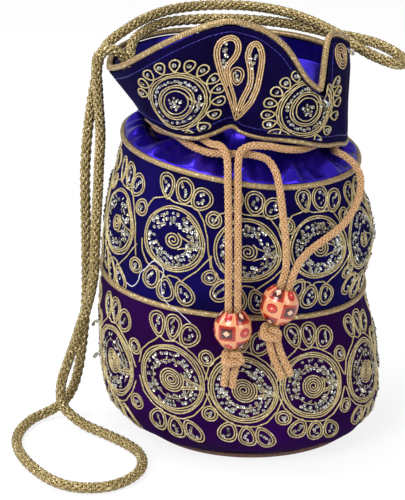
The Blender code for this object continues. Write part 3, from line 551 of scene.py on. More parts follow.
def thread_look(name, dark, light, glint_colour, metallic, rough, twist, per_turn=1, glint_scale=900.0):
    """Twisted thread or cord: light and dark bands wound along its twist, painted highlight and shade of its
    turns, with bright flecks of painted glints between them.
    """
    look = Look(name, Metallic=metallic, Roughness=rough)
    wound = look.stripes(twist, per_turn, 0.8)
    grain = look.noise(glint_scale, 2.0)
    # Light and dark bands along the twist: painted highlight and shade of its turns.
    colour = look.mix(wound, dark, light)
    # Bright flecks where the grain noise peaks: painted glints.
    painted_glints = look.ramp(grain, [(0.55, (0.0, 0.0, 0.0)), (0.68, (1.0, 1.0, 1.0))])
    look.feed("Base Color", look.mix(painted_glints, colour, glint_colour))
    look.bump(look.math("ADD", wound, grain), 0.5, 0.14)
    return look.material


def bead_look(name):
    """Peach varnished wood, printed with framed squares and dots by turns."""
    look = Look(name, Roughness=0.18, Coat_Weight=0.6, Coat_Roughness=0.06)
    across, up = look.uv("X"), look.uv("Y")
    cell_u, cell_v = (look.math("ABSOLUTE", look.math("SUBTRACT", look.math("FRACT", place), 0.5))
                      for place in (across, up))
    parity = look.math("MODULO", look.math("ADD", look.math("FLOOR", across), look.math("FLOOR", up)), 2.0)
    odd = look.math("GREATER_THAN", parity, 0.5)
    square = look.math("MAXIMUM", cell_u, cell_v)
    diamond = look.math("ADD", cell_u, cell_v)
    rounded = look.math("SQRT", look.math("ADD", look.math("MULTIPLY", cell_u, cell_u),
                                          look.math("MULTIPLY", cell_v, cell_v)))
    grain = look.noise(700.0, 3.0)
    wood = look.mix(look.noise(120.0, 3.0), (0.70, 0.27, 0.115), (0.78, 0.35, 0.17))
    red = look.mix(grain, (0.46, 0.030, 0.008), (0.30, 0.008, 0.006))
    maroon, cream = (0.07, 0.003, 0.005), (0.80, 0.48, 0.32)
    dark_red, bright_red = (0.24, 0.006, 0.005), (0.55, 0.02, 0.012)

    def printed(*layers):
        pattern = wood
        for distance, edge, colour in layers:
            pattern = look.mix(look.math("LESS_THAN", distance, edge), pattern, colour)
        return pattern
    framed = printed((square, 0.47, red), (square, 0.31, maroon), (diamond, 0.19, cream))
    dotted = printed((rounded, 0.30, dark_red), (rounded, 0.24, bright_red), (rounded, 0.05, cream))
    look.feed("Base Color", look.mix(odd, framed, dotted))
    look.bump(grain, 0.06, 0.1)
    return look.material


blue_velvet = velvet("blue_velvet_pile", (0.003, 0.0012, 0.040), (0.007, 0.003, 0.105), (0.12, 0.10, 0.85))
violet_velvet = velvet("violet_velvet_pile", (0.016, 0.0005, 0.036), (0.030, 0.001, 0.080),
                       (0.28, 0.10, 0.75))
collar_velvet = velvet("collar_velvet_pile", (0.0025, 0.001, 0.022), (0.006, 0.002, 0.055),
                       (0.12, 0.10, 0.80))
satin = satin_look("satin_cloth", (0.022, 0.007, 0.36), (0.055, 0.022, 0.78))
# A darker copy of the satin for the inside of the collar, mouth and bag: painted shade.
shaded_lining_satin = satin_look("satin_lining_painted_shade", (0.006, 0.002, 0.10), (0.014, 0.005, 0.24))
gold_piping = thread_look("gold_piping_cloth", (0.22, 0.13, 0.05), (0.44, 0.31, 0.14), (0.72, 0.60, 0.38),
                          0.45, 0.38, 1.3, 2)
brown_piping = thread_look("brown_piping_cloth", (0.13, 0.06, 0.05), (0.25, 0.13, 0.09), (0.36, 0.20, 0.14),
                           0.1, 0.6, 1.3, 2)
gold_thread = thread_look("gold_thread_twist", (0.36, 0.265, 0.10), (0.70, 0.57, 0.28), (0.95, 0.86, 0.60),
                          0.35, 0.32, 0.9, 1)
paisley_thread = thread_look("copper_gold_thread_twist", (0.42, 0.25, 0.10), (0.80, 0.54, 0.27),
                             (1.0, 0.84, 0.56), 0.4, 0.32, 0.9, 1)
tan_looks = [thread_look("tan_strand_fibres", (0.44, 0.23, 0.09), (0.72, 0.44, 0.22), (0.80, 0.52, 0.30),
                         0.1, 0.38, 1.6, 2, 700.0),
             # The core is coloured dark as painted shade in the gaps between the strands.
             thread_look("tan_core_painted_shade", (0.14, 0.070, 0.028), (0.20, 0.105, 0.045), (0.24, 0.14, 0.06),
                         0.0, 0.6, 1.6, 2, 700.0)]
rope_looks = [thread_look("rope_strand_fibres", (0.10, 0.066, 0.018), (0.44, 0.33, 0.13),
                          (0.86, 0.74, 0.44), 0.5, 0.36, 1.3, 2, 950.0),
              # The core is coloured dark as painted shade in the gaps between the strands.
              thread_look("rope_core_painted_shade", (0.05, 0.032, 0.01), (0.16, 0.11, 0.04), (0.30, 0.24, 0.12),
                          0.3, 0.5, 1.3, 2, 950.0)]
stitch_thread = thread_look("blue_stitch_thread", (0.006, 0.004, 0.09), (0.02, 0.015, 0.26),
                            (0.06, 0.05, 0.42), 0.3, 0.35, 2.2, 0)
white_thread = thread_look("white_thread_fibres", (0.60, 0.58, 0.72), (0.82, 0.82, 0.92),
                           (0.95, 0.95, 1.0), 0.0, 0.5, 0.8, 1)
bead_wood = bead_look("bead_wood_print")


def sequin_look():
    look = Look("silver_sequins", Metallic=0.85, Roughness=0.24)
    tint = look.noise(420.0, 1.0)
    look.feed("Base Color", look.ramp(tint, [(0.35, (0.34, 0.30, 0.18)), (0.5, (0.45, 0.43, 0.36)),
                                             (0.7, (0.56, 0.58, 0.60))]))
    return look.material


sequins = sequin_look()


def plain_cloth(name, base, dark):
    look = Look(name, Roughness=0.6)
    weave = look.noise(1400.0, 2.0)
    look.feed("Base Color", look.mix(weave, dark, base))
    look.bump(weave, 0.3, 0.2)
    return look.material


def finish_node(node, look):
    """Gives a CAD node that stays its own look."""
    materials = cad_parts[node].data.materials
    materials.clear()
    materials.append(look)


# Camera, then the cords
camera_data = bpy.data.cameras.new("camera")
camera_data.lens = 160.0
camera_data.sensor_width = 36.0
camera = linked("camera", camera_data)
camera.location = AIM + CAMERA_DISTANCE * Vector((0, -cos(CAMERA_TILT), sin(CAMERA_TILT)))
camera.rotation_euler = (pi / 2 - CAMERA_TILT, 0, 0)
bpy.context.scene.camera = camera


def turn_points(turn_angles, turn):
    theta = np.radians(np.linspace(*turn_angles, TURN_POINTS))
    return body_point(theta, *turn, TURN_SIDE_DROP).tolist()


def make_cord(name, route, step, form, looks, slot, node):
    path = smooth_route(route, step)
    piece = add_braids(name, braid(path, **form), looks)
    dress(piece, "bag", slot, node)
    return piece, path


rope, rope_path = make_cord("braided_rope", ROPE_ROUTE, ROPE_STEP, ROPE_BRAID, rope_looks, "rope_gold",
                            "carry_rope")
drawstrings = {
    side: make_cord(f"braided_drawstring_{side}", out + turn_points(angles, turn) + back,
                    DRAWSTRING_STEP, DRAWSTRING_BRAID, tan_looks, "tan_cord", f"drawstring_{side}")
    for side, out, angles, turn, back in (
        ("left", LEFT_ROUTE_OUT, LEFT_TURN_ANGLES, INNER_TURN, LEFT_ROUTE_BACK),
        ("right", RIGHT_ROUTE_OUT, RIGHT_TURN_ANGLES, OUTER_TURN, RIGHT_ROUTE_BACK))}


def bead_frame(side):
    centre, axis, turn = BEADS[side]
    axis = unit(np.array(axis))
    front = unit(np.array((0.0, -1.0, 0.0)) - axis * axis.dot((0.0, -1.0, 0.0)))
    return np.array(centre), axis, front, np.cross(axis, front), turn


def make_bead(side):
    centre, axis, front, right, turn = bead_frame(side)
    top = np.arctan2(BEAD_END / BEAD_HALF_LENGTH, BEAD_BORE_RADIUS / BEAD_RADIUS)
    lift = np.linspace(-top, top, BEAD_ROWS)
    profile = [(BEAD_BORE_RADIUS, -0.6 * BEAD_END), (BEAD_BORE_RADIUS, -0.97 * BEAD_END)]
    profile += list(zip(BEAD_RADIUS * np.cos(lift), BEAD_HALF_LENGTH * np.sin(lift)))
    profile += [(BEAD_BORE_RADIUS, 0.97 * BEAD_END), (BEAD_BORE_RADIUS, 0.6 * BEAD_END)]
    angle = round_angles(BEAD_COLUMNS)
    around = front * np.cos(angle)[:, None] + right * np.sin(angle)[:, None]
    points = np.array([centre + axis * rise + around * radius for radius, rise in profile])
    row, column, faces = ring_faces(len(profile), BEAD_COLUMNS)
    across = (column / BEAD_COLUMNS * 360 - turn) / PRINT_CELL + PRINT_START
    up = PRINT_MIDDLE + PRINT_ROWS * np.array([rise for _, rise in profile]) / BEAD_HALF_LENGTH
    corners = face_corners(across, across + 360 / BEAD_COLUMNS / PRINT_CELL, up[row], up[row + 1])
    piece = add_mesh(f"wooden_bead_{side}", (points.reshape(-1, 3), faces, corners), [bead_wood])
    return dress(piece, f"bead_{side}", "bead_wood", f"bead_{side}")


def make_knot(side):
    centre, axis, front, right, _ = bead_frame(side)
    middle = centre - axis * (BEAD_END + GAP + KNOT_HALF_HEIGHT)
    t = np.linspace(0, 2 * pi, KNOT_POINTS)
    loop = stacked(np.sin(t) + 2 * np.sin(2 * t), np.cos(t) - 2 * np.cos(2 * t), -np.sin(3 * t)) * KNOT_REACH
    wrap = stacked(WRAP_RADIUS * np.cos(t), WRAP_RADIUS * np.sin(t), WRAP_RISE * np.sin(t) - WRAP_DROP)
    parts = []
    for curve in (loop, wrap):
        path = middle + curve[:, :1] * right + curve[:, 1:2] * front + curve[:, 2:] * axis
        parts += braid(resampled(path, DRAWSTRING_STEP), **DRAWSTRING_BRAID)
    for tail in TAILS[side]:
        path = smooth_route([tuple(middle * 0.5 + np.array(tail[0]) * 0.5)] + tail, DRAWSTRING_STEP)
        parts += braid(path, **DRAWSTRING_BRAID) + [(frayed_end(path), 0)]
    piece = add_braids(f"drawstring_knot_{side}", parts, tan_looks)
    return dress(piece, "bag", "tan_cord", f"knot_{side}")


def frayed_end(path):
    """The cut end of a cord: a rounded plug of fibres that closes it."""
    along, side, up = frames_along(path)
    rise = np.linspace(0, 1, 6)[:, None]
    steps = path[-1] + along[-1] * (rise * TAIL_END_LENGTH - TAIL_END_SET_BACK)
    count = len(steps)
    return tube(steps, np.repeat(side[-1:], count, 0), np.repeat(up[-1:], count, 0),
                TAIL_END_RADIUS * np.sqrt(np.clip(1 - rise[:, 0] ** 3, 0.001, 1)), 12)


beads = {side: make_bead(side) for side in BEADS}
knots = {side: make_knot(side) for side in BEADS}


def declare_cord(piece, path):
    float(lengths_along(path)[-1]) * MM


declare_cord(rope, rope_path)
for side, (piece, path) in drawstrings.items():
    declare_cord(piece, path)


# Velvet body
def make_panel(name, outline, heights, look, slot, node):
    theta = turns(PANEL_COLUMNS)
    rows = [cloth_point(outline, theta, np.full(PANEL_COLUMNS, height)) for height in heights]
    return dress(add_mesh(name, grid_shape(np.array(rows)), [look]), "bag", slot, node)


lower_velvet, upper_velvet = (make_panel(*panel) for panel in (
    ("velvet_lower", lower_width, np.linspace(LOWER_OUTLINE[0][0], MIDDLE_SEAM, 56), violet_velvet,
     "violet_velvet", "lower_panel"),
    ("velvet_upper", upper_width, np.linspace(MIDDLE_SEAM, TOP_SEAM, 48), blue_velvet,
     "blue_velvet", "upper_panel")))


# Gathered satin neck
def neck_shape(per_gather, depth_in=0.0):
    columns = GATHERS * per_gather
    theta = turns(columns)
    rows = []
    puffed = np.interp(np.degrees(theta), PUFF_ANGLES, PUFF_SHARES)
    for number, (width, height, side_drop, depth, rise, puff) in enumerate(NECK_ROWS):
        swing = 0.35 * np.sin(3 * theta + 0.7 + 0.2 * number) * min(1.0, max(0.0, (5 - number) / 4))
        fold = (np.cos(GATHERS * theta + swing) + 0.35 * np.cos(2 * GATHERS * theta + 1.3)
                + 0.3 * np.sin(3 * GATHERS * theta + 0.3 * number))
        raised = height + rise * fold * GATHER_SHARE + puff * puffed
        rows.append(body_point(theta, width - depth_in + depth * fold * GATHER_SHARE, raised,
                               NECK_SIDE_DROP * side_drop))
    inside = LINING_DEPTH + LINING_THICKNESS + 2 * GAP
    rows.append(collar_point(theta, collar_share(theta, NECK_TOP_Z), inside + depth_in))
    rows = np.array(rows)
    places = np.linspace(0, len(rows) - 1, NECK_FINE_ROWS)
    before = np.clip(places.astype(int), 0, len(rows) - 2)
    t = (places - before)[:, None, None]
    p0, p1 = rows[np.clip(before - 1, 0, None)], rows[before]
    p2, p3 = rows[before + 1], rows[np.clip(before + 2, None, len(rows) - 1)]
    fine = 0.5 * (2 * p1 + (p2 - p0) * t + (2 * p0 - 5 * p1 + 4 * p2 - p3) * t ** 2
                  + (3 * p1 - p0 - 3 * p2 + p3) * t ** 3)
    return grid_shape(fine)


neck = add_mesh("satin_neck_gathers", neck_shape(32), [satin])
dress(neck, "bag", "satin", "satin_neck")
mouth_lining = add_mesh("satin_mouth_lining", neck_shape(12, 0.8), [shaded_lining_satin])
dress(mouth_lining, "bag", "satin")


# Petal collar
def edge_distance(theta, z, edge):
    """Distance in mm on the opened-out collar from points to the hem or the rim."""
    line = np.linspace(-pi, pi, EDGE_POINTS)
    line_z = edge(np.degrees(line))
    nearest = np.full(theta.shape, 1e9)
    for a, b, za, zb in zip(line, line[1:], line_z, line_z[1:]):
        du, dz = (b - a) * OPENED_RADIUS, zb - za
        pu, pz = (theta - a) * OPENED_RADIUS, z - za
        t = np.clip((pu * du + pz * dz) / (du * du + dz * dz), 0, 1)
        nearest = np.minimum(nearest, (pu - t * du) ** 2 + (pz - t * dz) ** 2)
    return np.sqrt(nearest)


def collar_relief(theta, share):
    """Padding of the collar, drawn in along the two rows of top stitches."""
    z = collar_hem(np.degrees(theta)) * (1 - share) + collar_rim(np.degrees(theta)) * share
    rim, hem = edge_distance(theta, z, collar_rim), edge_distance(theta, z, collar_hem)
    groove = sum(np.exp(-((distance - STITCH_INSET) / STITCH_GROOVE) ** 2) for distance in (rim, hem))
    inner = np.clip((np.minimum(rim, hem) - STITCH_INSET) / PADDING_FADE, 0, 1)
    soft = 0.5 * np.sin(11 * theta + share * 4) + 0.3 * np.sin(23 * theta - share * 3 + 1)
    return 0.7 * inner * soft - 0.4 * groove


def make_collar():
    theta = turns(COLLAR_COLUMNS)
    shares = np.concatenate((np.linspace(0.0, 0.2, 12), np.linspace(0.23, 0.85, 22),
                             np.linspace(0.87, 1.0, 14)))
    angle, share = np.meshgrid(theta, shares)
    outer = collar_point(angle, share, -collar_relief(angle, share))
    hem_turn = [collar_point(theta, np.full(COLLAR_COLUMNS, s), d)
                for s, d in ((0.3, 1.4), (0.1, 1.4), (0.01, 1.3), (-0.005, 0.9), (-0.005, 0.4))]
    cloth = add_mesh("velvet_collar", grid_shape(np.concatenate((hem_turn, outer))), [collar_velvet])
    dress(cloth, "bag", "collar_velvet", "collar")
    angle, share = np.meshgrid(theta, np.linspace(1.0, 0.3, 26))
    folds = (0.9 * np.cos(14 * angle + share * 3) + 0.5 * np.cos(29 * angle + 2 * share)) * (1 - share) ** 0.5
    inner = collar_point(angle, share, LINING_DEPTH + 0.4 + 0.8 * (1 - share) - folds * 0.7)
    lining = add_mesh("satin_collar_lining", grid_shape(inner), [shaded_lining_satin])
    return cloth, dress(lining, "bag", "satin", "collar_lining")


collar, collar_lining = make_collar()


# Pipings
def edge_path(share, offset, depth):
    theta = turns(RIM_STEPS)
    edge = collar_point(theta, np.full(RIM_STEPS, share))
    arriving = unit(edge - np.roll(edge, 1, axis=0))
    leaving = unit(np.roll(edge, -1, axis=0) - edge)
    along = unit(arriving + leaving)
    rising = collar_point(theta, np.ones(RIM_STEPS)) - collar_point(theta, np.full(RIM_STEPS, 0.8))
    across = unit(rising - along * np.sum(rising * along, axis=1, keepdims=True))
    inward = np.cross(along, across)
    inward *= -np.sign(np.sum(inward[:, :2] * edge[:, :2], axis=1, keepdims=True))
    mitre = 1 / np.sum(arriving * along, axis=1, keepdims=True)
    path = edge + across * offset * mitre + inward * depth
    for _ in range(2):
        after = np.roll(path, -1, axis=0)
        path = np.stack((0.75 * path + 0.25 * after, 0.25 * path + 0.75 * after), axis=1).reshape(-1, 3)
    return path


def make_piping(name, path, radius, look, slot, node, sides=10):
    _, side, up = frames_along(path, closed=True)
    dress(add_mesh(name, tube(path, side, up, radius, sides, closed=True), [look]), "bag", slot, node)


seam_theta = turns(SEAM_POINTS)
for name, height, width, node in (("piping_middle_wrap", MIDDLE_SEAM, MIDDLE_WIDTH, "middle_piping"),
                                  ("piping_top_wrap", TOP_SEAM, TOP_WIDTH, "top_piping")):
    make_piping(name, body_point(seam_theta, width + PIPING_PROUD, np.full(SEAM_POINTS, height)),
                SEAM_PIPING_RADIUS, gold_piping, "gold_piping", node)
make_piping("piping_rim_wrap", edge_path(1.0, 1.8, 1.5), 1.6, gold_piping, "gold_piping", "rim_piping")
make_piping("piping_hem_wrap", edge_path(0.0, -1.6, 0.7), SMALL_PIPING_RADIUS, gold_piping, "gold_piping",
            "hem_piping")
base_theta = turns(BASE_POINTS)
base_seam = stacked(BASE_CENTRE_X + BASE_SEAM_RADIUS * np.sin(base_theta),
                    -BASE_SEAM_RADIUS * np.cos(base_theta), SMALL_PIPING_RADIUS)
make_piping("piping_base_wrap", base_seam, SMALL_PIPING_RADIUS, brown_piping, "brown_piping", "base_piping")


# Embroidery
class Stitching:
    """Threads and sequins laid out flat, across and up in mm, then placed on the cloth together."""

    def __init__(self):
        self.shapes, self.looks = [], []

    def thread(self, points, closed=False, radius=THREAD_RADIUS, lift=0.2):
        path = np.array(points, float)
        if closed:
            path = resampled(np.vstack((path, path[:1])), THREAD_STEP)[:-1]
        else:
            path = resampled(path, THREAD_STEP)
        along = directions(path, closed)
        side = stacked(-along[:, 1], along[:, 0], 0.0)
        up = np.tile((0.0, 0.0, 1.0), (len(path), 1))
        path = stacked(path[:, 0], path[:, 1], lift)
        self.add(tube(path, side, up, radius, THREAD_SIDES, closed), 0)

    def rings(self, *radii, centre=(0.0, 0.0), count=60, **settings):
        for radius in radii:
            self.thread(circle(radius, centre, count), closed=True, **settings)

    def add(self, shape, look):
        self.shapes.append(shape)
        self.looks.append(np.full(len(shape[1]), look))

    def sequin(self, u, v, radius=SEQUIN_RADIUS, lift=0.55):
        """A small cupped disc with a hole, lying at a slant of its own."""
        angle = round_angles(SEQUIN_SIDES) + rng.uniform(0, 1)
        lean = rng.normal(0, SEQUIN_LEAN, 2)
        rings = []
        for reach, rise in ((SEQUIN_HOLE * radius, 0.0), (radius, 0.3 * radius)):
            across, up = reach * np.cos(angle), reach * np.sin(angle)
            rings.append(stacked(u + across, v + up, lift + rise + across * lean[0] + up * lean[1]))
        points = np.vstack(rings)
        k = np.arange(SEQUIN_SIDES)
        after = (k + 1) % SEQUIN_SIDES
        faces = np.stack((k, SEQUIN_SIDES + k, SEQUIN_SIDES + after, after), axis=1)
        self.add((points, faces, np.zeros((SEQUIN_SIDES, 4, 2))), 1)

    def place(self, name, put, slot, looks, *nodes):
        points, faces, corners = joined(self.shapes)
        piece = add_mesh(name, (put(points), faces, corners), looks, np.concatenate(self.looks))
        return dress(piece, "bag", slot, *nodes)


def polar(reach, angle):
    return np.stack((reach * np.cos(angle), reach * np.sin(angle)), axis=1)


def swung(centre, x, y, bearing):
    """Places turned by a bearing, in degrees clockwise, and moved to a centre."""
    s, c = sin(radians(bearing)), cos(radians(bearing))
    return centre[0] + x * c + y * s, centre[1] - x * s + y * c


def circle(radius, centre, count):
    angle = round_angles(count)
    uneven = np.sin(3 * angle + radius) + 0.6 * np.sin(7 * angle + 2 * radius)
    return centre + polar(radius * (1 + CIRCLE_WOBBLE * uneven), angle)


def drop(centre, half_width, half_length, bearing, point):
    """A closed drop whose round end lies at a bearing from its tip, which may be more or less of a point."""
    t = round_angles(40)
    rise = (1 - np.cos(t)) / 2
    x = np.sin(t) * (1 - point * (1 - rise))
    return np.stack(swung(centre, half_width * x / x.max(), -half_length * np.cos(t), bearing), axis=1)


def petal(work, centre, half_width, half_length, bearing, point, sequin_count=5):
    half_width, half_length = PETAL_FULLNESS[0] * half_width, PETAL_FULLNESS[1] * half_length
    for inwards in (0.0, LINE_SPACING):
        outline = drop(centre, half_width - inwards, half_length - 1.2 * inwards, bearing, point)
        work.thread(outline, closed=True)
    for k in range(sequin_count):
        y = (k + 0.5) / sequin_count * 2 - 1
        x = rng.uniform(-0.45, 0.45) * half_width * (0.4 + 0.6 * (y + 1) / 2)
        work.sequin(*swung(centre, x, y * 0.55 * half_length + 0.4, bearing), radius=0.85)


def small_circle(work, centre, radius=4.0):
    work.rings(radius, radius - LINE_SPACING, centre=centre, count=30)
    for k in range(3):
        bearing = 2 * pi * k / 3 + rng.uniform(0, 1)
        work.sequin(centre[0] + 0.9 * cos(bearing), centre[1] + 0.9 * sin(bearing), radius=0.8)


def spiral(inner, outer, turn_count, start):
    t = np.linspace(0, 1, int(26 * turn_count))
    return polar(inner + (outer - inner) * t, radians(start) - 2 * pi * turn_count * (1 - t))


def sequin_trail(work, across, up, radii):
    for _ in range(9):
        work.sequin(rng.uniform(*across), rng.uniform(*up), rng.uniform(*radii), lift=0.75)


def sequin_band(work, inner, outer, rows, missing):
    for row in range(rows):
        middle = inner + (outer - inner) * (row + 0.5) / rows
        count = int(2 * pi * middle / (1.85 * SEQUIN_RADIUS))
        for k in range(count):
            if rng.uniform() < missing:
                continue
            angle = 2 * pi * (k + rng.uniform(-0.25, 0.25)) / count
            reach = middle + rng.normal(0, 0.35)
            work.sequin(reach * cos(angle), reach * sin(angle), rng.uniform(0.75, 1.05))


UPPER_PETALS = [((-6.9, 25.6), 4.0, 6.1, -8.0, 0.55), ((3.8, 25.6), 4.6, 6.2, 3.0, 0.25),
                ((13.3, 23.0), 4.6, 6.0, 38.0, 0.35), ((-10.6, -22.6), 4.2, 6.0, 200.0, 0.3),
                ((-2.0, -27.0), 4.3, 6.2, 178.0, 0.5), ((8.2, -27.2), 4.2, 6.4, 152.0, 0.5)]
UPPER_GARLAND = [
    (-17.3, 12), (-15.6, 15.2), (-14, 17.5), (-9.5, 19), (-6.5, 20.3), (-2, 18.6), (3, 18.4), (8, 18.6),
    (11.5, 17.6), (15.2, 12.5), (17.6, 5), (18.2, -2), (20, -11)]
UPPER_LOWER_GARLAND = [
    (-17.9, -4), (-17, -10), (-13.6, -15.6), (-10, -17.4), (-4.4, -18.4), (-2.4, -20.6), (0, -18.8),
    (4.6, -19.2), (6.4, -21), (8.6, -18.4), (13.4, -13.8), (17.4, -8), (20.2, -4.6)]
LOWER_PETALS = [((-7.1, 27.4), 3.9, 6.0, -12.0, 0.5), ((2.0, 27.4), 4.0, 6.1, 6.0, 0.5),
                ((11.0, 24.4), 4.6, 6.0, 36.0, 0.35), ((-9.5, -23.7), 4.3, 5.6, 202.0, 0.4),
                ((0.3, -26.2), 4.0, 5.8, 180.0, 0.45), ((9.5, -27.2), 4.2, 6.2, 156.0, 0.45)]
LOWER_GARLAND = [
    (-19.6, 4), (-17, 11.6), (-12.6, 16), (-8, 19.2), (-5.6, 21.6), (-2.4, 19.6), (3.4, 20.6), (7.6, 18.9),
    (13, 15.4), (17.2, 10), (19.9, 3)]
LOWER_LOWER_GARLAND = [
    (-19.6, -3), (-16.8, -10.6), (-11.8, -15.8), (-6, -19.2), (0.4, -20.6), (5.6, -20.4), (11.2, -17.8),
    (16.6, -11.6), (19.9, -4)]


def add_border(work, petals, circles, garlands):
    """What lies round a medallion: its petals, the small circles and the lines between them."""
    for form in petals:
        petal(work, *form)
    for centre in circles:
        small_circle(work, centre)
    for garland in garlands:
        work.thread(garland, lift=GARLAND_LIFT)
    return work


def upper_motif():
    work = Stitching()
    work.rings(16.4, 15.3)
    work.thread(polar(14.1, np.radians(np.linspace(-150, 65, 40))))
    work.thread(spiral(0.7, 4.7, 2.6, 60.0))
    work.thread([(2.35, 4.07), (4.6, 2.2), (8.0, 1.0), (12.0, 0.0), (16.0, -1.2)])
    work.thread([(2.6, -4.3), (5.4, -3.2), (9.0, -2.2), (12.6, -1.6), (16.0, -1.5)])
    sequin_trail(work, (7.5, 15.0), (-2.6, 1.4), (0.8, 1.1))
    sequin_band(work, 7.6, 13.8, 3, 0.18)
    return add_border(work, UPPER_PETALS, ((20.3, 14.0), (20.3, -16.2)), (UPPER_GARLAND, UPPER_LOWER_GARLAND))


def lower_motif():
    work = Stitching()
    work.rings(17.9, 16.8, 15.7)
    work.thread(spiral(0.8, 6.9, 4.6, 40.0))
    for shift in (-0.7, 0.5):
        for tail in ([(6.0, 3.0), (9.0, 1.2), (12.5, -0.4), (16.2, -1.6)],
                     [(5.6, -3.6), (9.6, -2.6), (13.0, -2.2), (16.2, -2.0)]):
            work.thread([(u, v + shift) for u, v in tail])
    sequin_band(work, 8.0, 14.8, 3, 0.25)
    work.rings(10.3, radius=0.24)
    return add_border(work, LOWER_PETALS, ((19.75, 14.2), (19.75, -15.4)),
                      (LOWER_GARLAND, LOWER_LOWER_GARLAND))


def on_body(theta, height, outline):
    reach = float(outline(height))

    def put(points):
        u, v, lift = points.T
        return cloth_point(outline, theta + u / reach, height + v, lift)
    return put


for row, places, outline, motif in (("upper", UPPER_MEDALLIONS, upper_width, upper_motif),
                                    ("lower", LOWER_MEDALLIONS, lower_width, lower_motif)):
    for number, (angle, height) in enumerate(places, 1):
        put = on_body(radians(angle), height, outline)
        motif().place(f"embroidery_{row}_{number:02d}", put, "gold_thread", [gold_thread, sequins],
                      f"{row}_medallion_{number:02d}")


def on_collar(angle, z, squash=(1.0, 1.0, 1.0), skew=0.0):
    """Placing on the collar, upright as it slopes and kept between its hem and rim.

    squash is across, and above and below the middle; skew leans the motif to the right."""
    theta = radians(angle)
    tangent = np.array((cos(theta), sin(theta), 0.0))
    middle = collar_point(theta, collar_share(theta, z))
    rising = collar_point(theta, collar_share(theta, z + 1.0)) - middle
    slope = sqrt(rising.dot(rising) - rising.dot(tangent) ** 2)

    def put(points):
        u, v, lift = points.T
        height = z + np.where(v > 0, v * squash[1], v * squash[2]) / slope
        drift = (collar_point(theta, collar_share(theta, height)) - middle) @ tangent
        turned = theta + (u * squash[0] + skew * v - drift) / COLLAR_REACH
        at = np.clip(collar_share(turned, height), *COLLAR_MARGINS)
        return collar_point(turned, at, -lift - COLLAR_MOTIF_LIFT)
    return put


LEFT_LOOPS = [176, 159, 141, 121, 101, 82, 63, 42, 24, 5, -15, -36, -57]
RIGHT_LOOPS = [111, 129, 146, 164, 182, 198, 216, 236, 261, 289, 312, 336, -3, 14, 31]


def collar_motif(loops):
    work = Stitching()
    work.rings(16.8, 15.5, 10.6, 9.3, 7.2)
    sequin_band(work, 11.6, 14.2, 1, 0.02)
    work.thread([(5.0, 5.0), (8.4, 2.8), (12.6, 1.0), (16.8, 0.6)])
    sequin_trail(work, (8.8, 15.6), (-1.5, 2.5), (0.7, 1.0))
    for k in range(11):
        bearing, reach = 2.4 * k, 1.25 * sqrt(k)
        work.sequin(reach * cos(bearing), reach * sin(bearing), lift=0.7)
    for angle in loops:
        a = radians(angle)
        centre = (LOOP_REACH * cos(a), LOOP_REACH * sin(a))
        work.thread(drop(centre, 2.7, 3.5, 90 - angle, 0.55), closed=True, radius=0.48)
        work.sequin(22.8 * cos(a), 22.8 * sin(a), radius=1.35, lift=0.5)
    base = np.radians(np.linspace(min(loops) - 10, max(loops) + 10, 80))
    work.thread(polar(18.1 + 0.25 * np.cos(base * 18), base))
    return work


for name, place, loops in (("left", (-33.2, 193.0, (0.88, 0.93, 0.90), 0.22), LEFT_LOOPS),
                           ("right", (34.6, 189.1, (1.02, 0.88, 0.80)), RIGHT_LOOPS),
                           ("back_left", (-140.0, 187.0, (0.75, 0.75, 0.72)), LEFT_LOOPS),
                           ("back_right", (140.0, 185.0, (0.75, 0.75, 0.72)), LEFT_LOOPS)):
    collar_motif(loops).place(f"embroidery_collar_{name}", on_collar(*place), "gold_thread",
                              [gold_thread, sequins], f"collar_medallion_{name}")

LEFT_PAISLEY = [
    (0, 0), (-2.2, 8.8), (-4.7, 17.5), (-7.1, 24.8), (-8.4, 30.6), (-9.3, 36.3), (-8.9, 41.3), (-7.1, 45),
    (-4.2, 47.1), (-1.3, 47.8), (1.3, 46.7), (2.9, 44.3), (3.3, 40.8), (2.5, 37.3), (0.9, 34.3),
    (-0.8, 32.2), (-2, 30.1), (-2.1, 26.4), (-1.4, 22.2), (-0.3, 17.8), (0.8, 13.6), (1.2, 9.9), (1.1, 4.7)]
RIGHT_PAISLEY = [
    (0, -0.2), (3.8, 2.7), (7.2, 6.9), (9.8, 10.6), (12, 15.7), (13.4, 20), (14.3, 25.5), (15, 30.9),
    (15.3, 35.7), (14.6, 40), (13.3, 42.7), (11.4, 44.5), (9.2, 44.2), (7.3, 42.5), (6.2, 39.5),
    (5.9, 35.9), (6.8, 31.8), (7.5, 27.6), (7.5, 23.4), (6.7, 19.7), (5.1, 16), (3.5, 12.4), (2.1, 8.4),
    (0.8, 3.8)]
PAISLEY_TIP = (-6.8, 184.0)


def shrunk(outline, distance):
    """A closed outline moved inwards, found by pulling each point along its own normal."""
    path = resampled(np.vstack((outline, outline[:1])), 0.8)[:-1]
    along = unit(np.roll(path, -2, axis=0) - np.roll(path, 2, axis=0))
    normal = np.stack((along[:, 1], -along[:, 0]), axis=1)
    area = np.sum(path[:, 0] * np.roll(path[:, 1], -1) - np.roll(path[:, 0], -1) * path[:, 1])
    moved = path - normal * distance * np.sign(area)
    far = np.array([np.min(np.linalg.norm(path - point, axis=1)) for point in moved])
    return moved[far > distance * 0.93]


def paisley_motif(outline, head):
    work = Stitching()
    outline = smooth_route([(u, v, 0.0) for u, v in outline], 0.8)[:, :2]
    for inwards in (0.0, 1.15, 2.3):
        line = shrunk(outline, inwards) if inwards else outline
        work.thread(line, closed=inwards < 1, lift=0.25, radius=0.46)
    for k in range(13):
        u, v = head[0] + rng.normal(0, 0.8), head[1] + rng.normal(0, 4.0)
        work.sequin(u, v, rng.uniform(0.7, 0.95), lift=0.45)
    return work


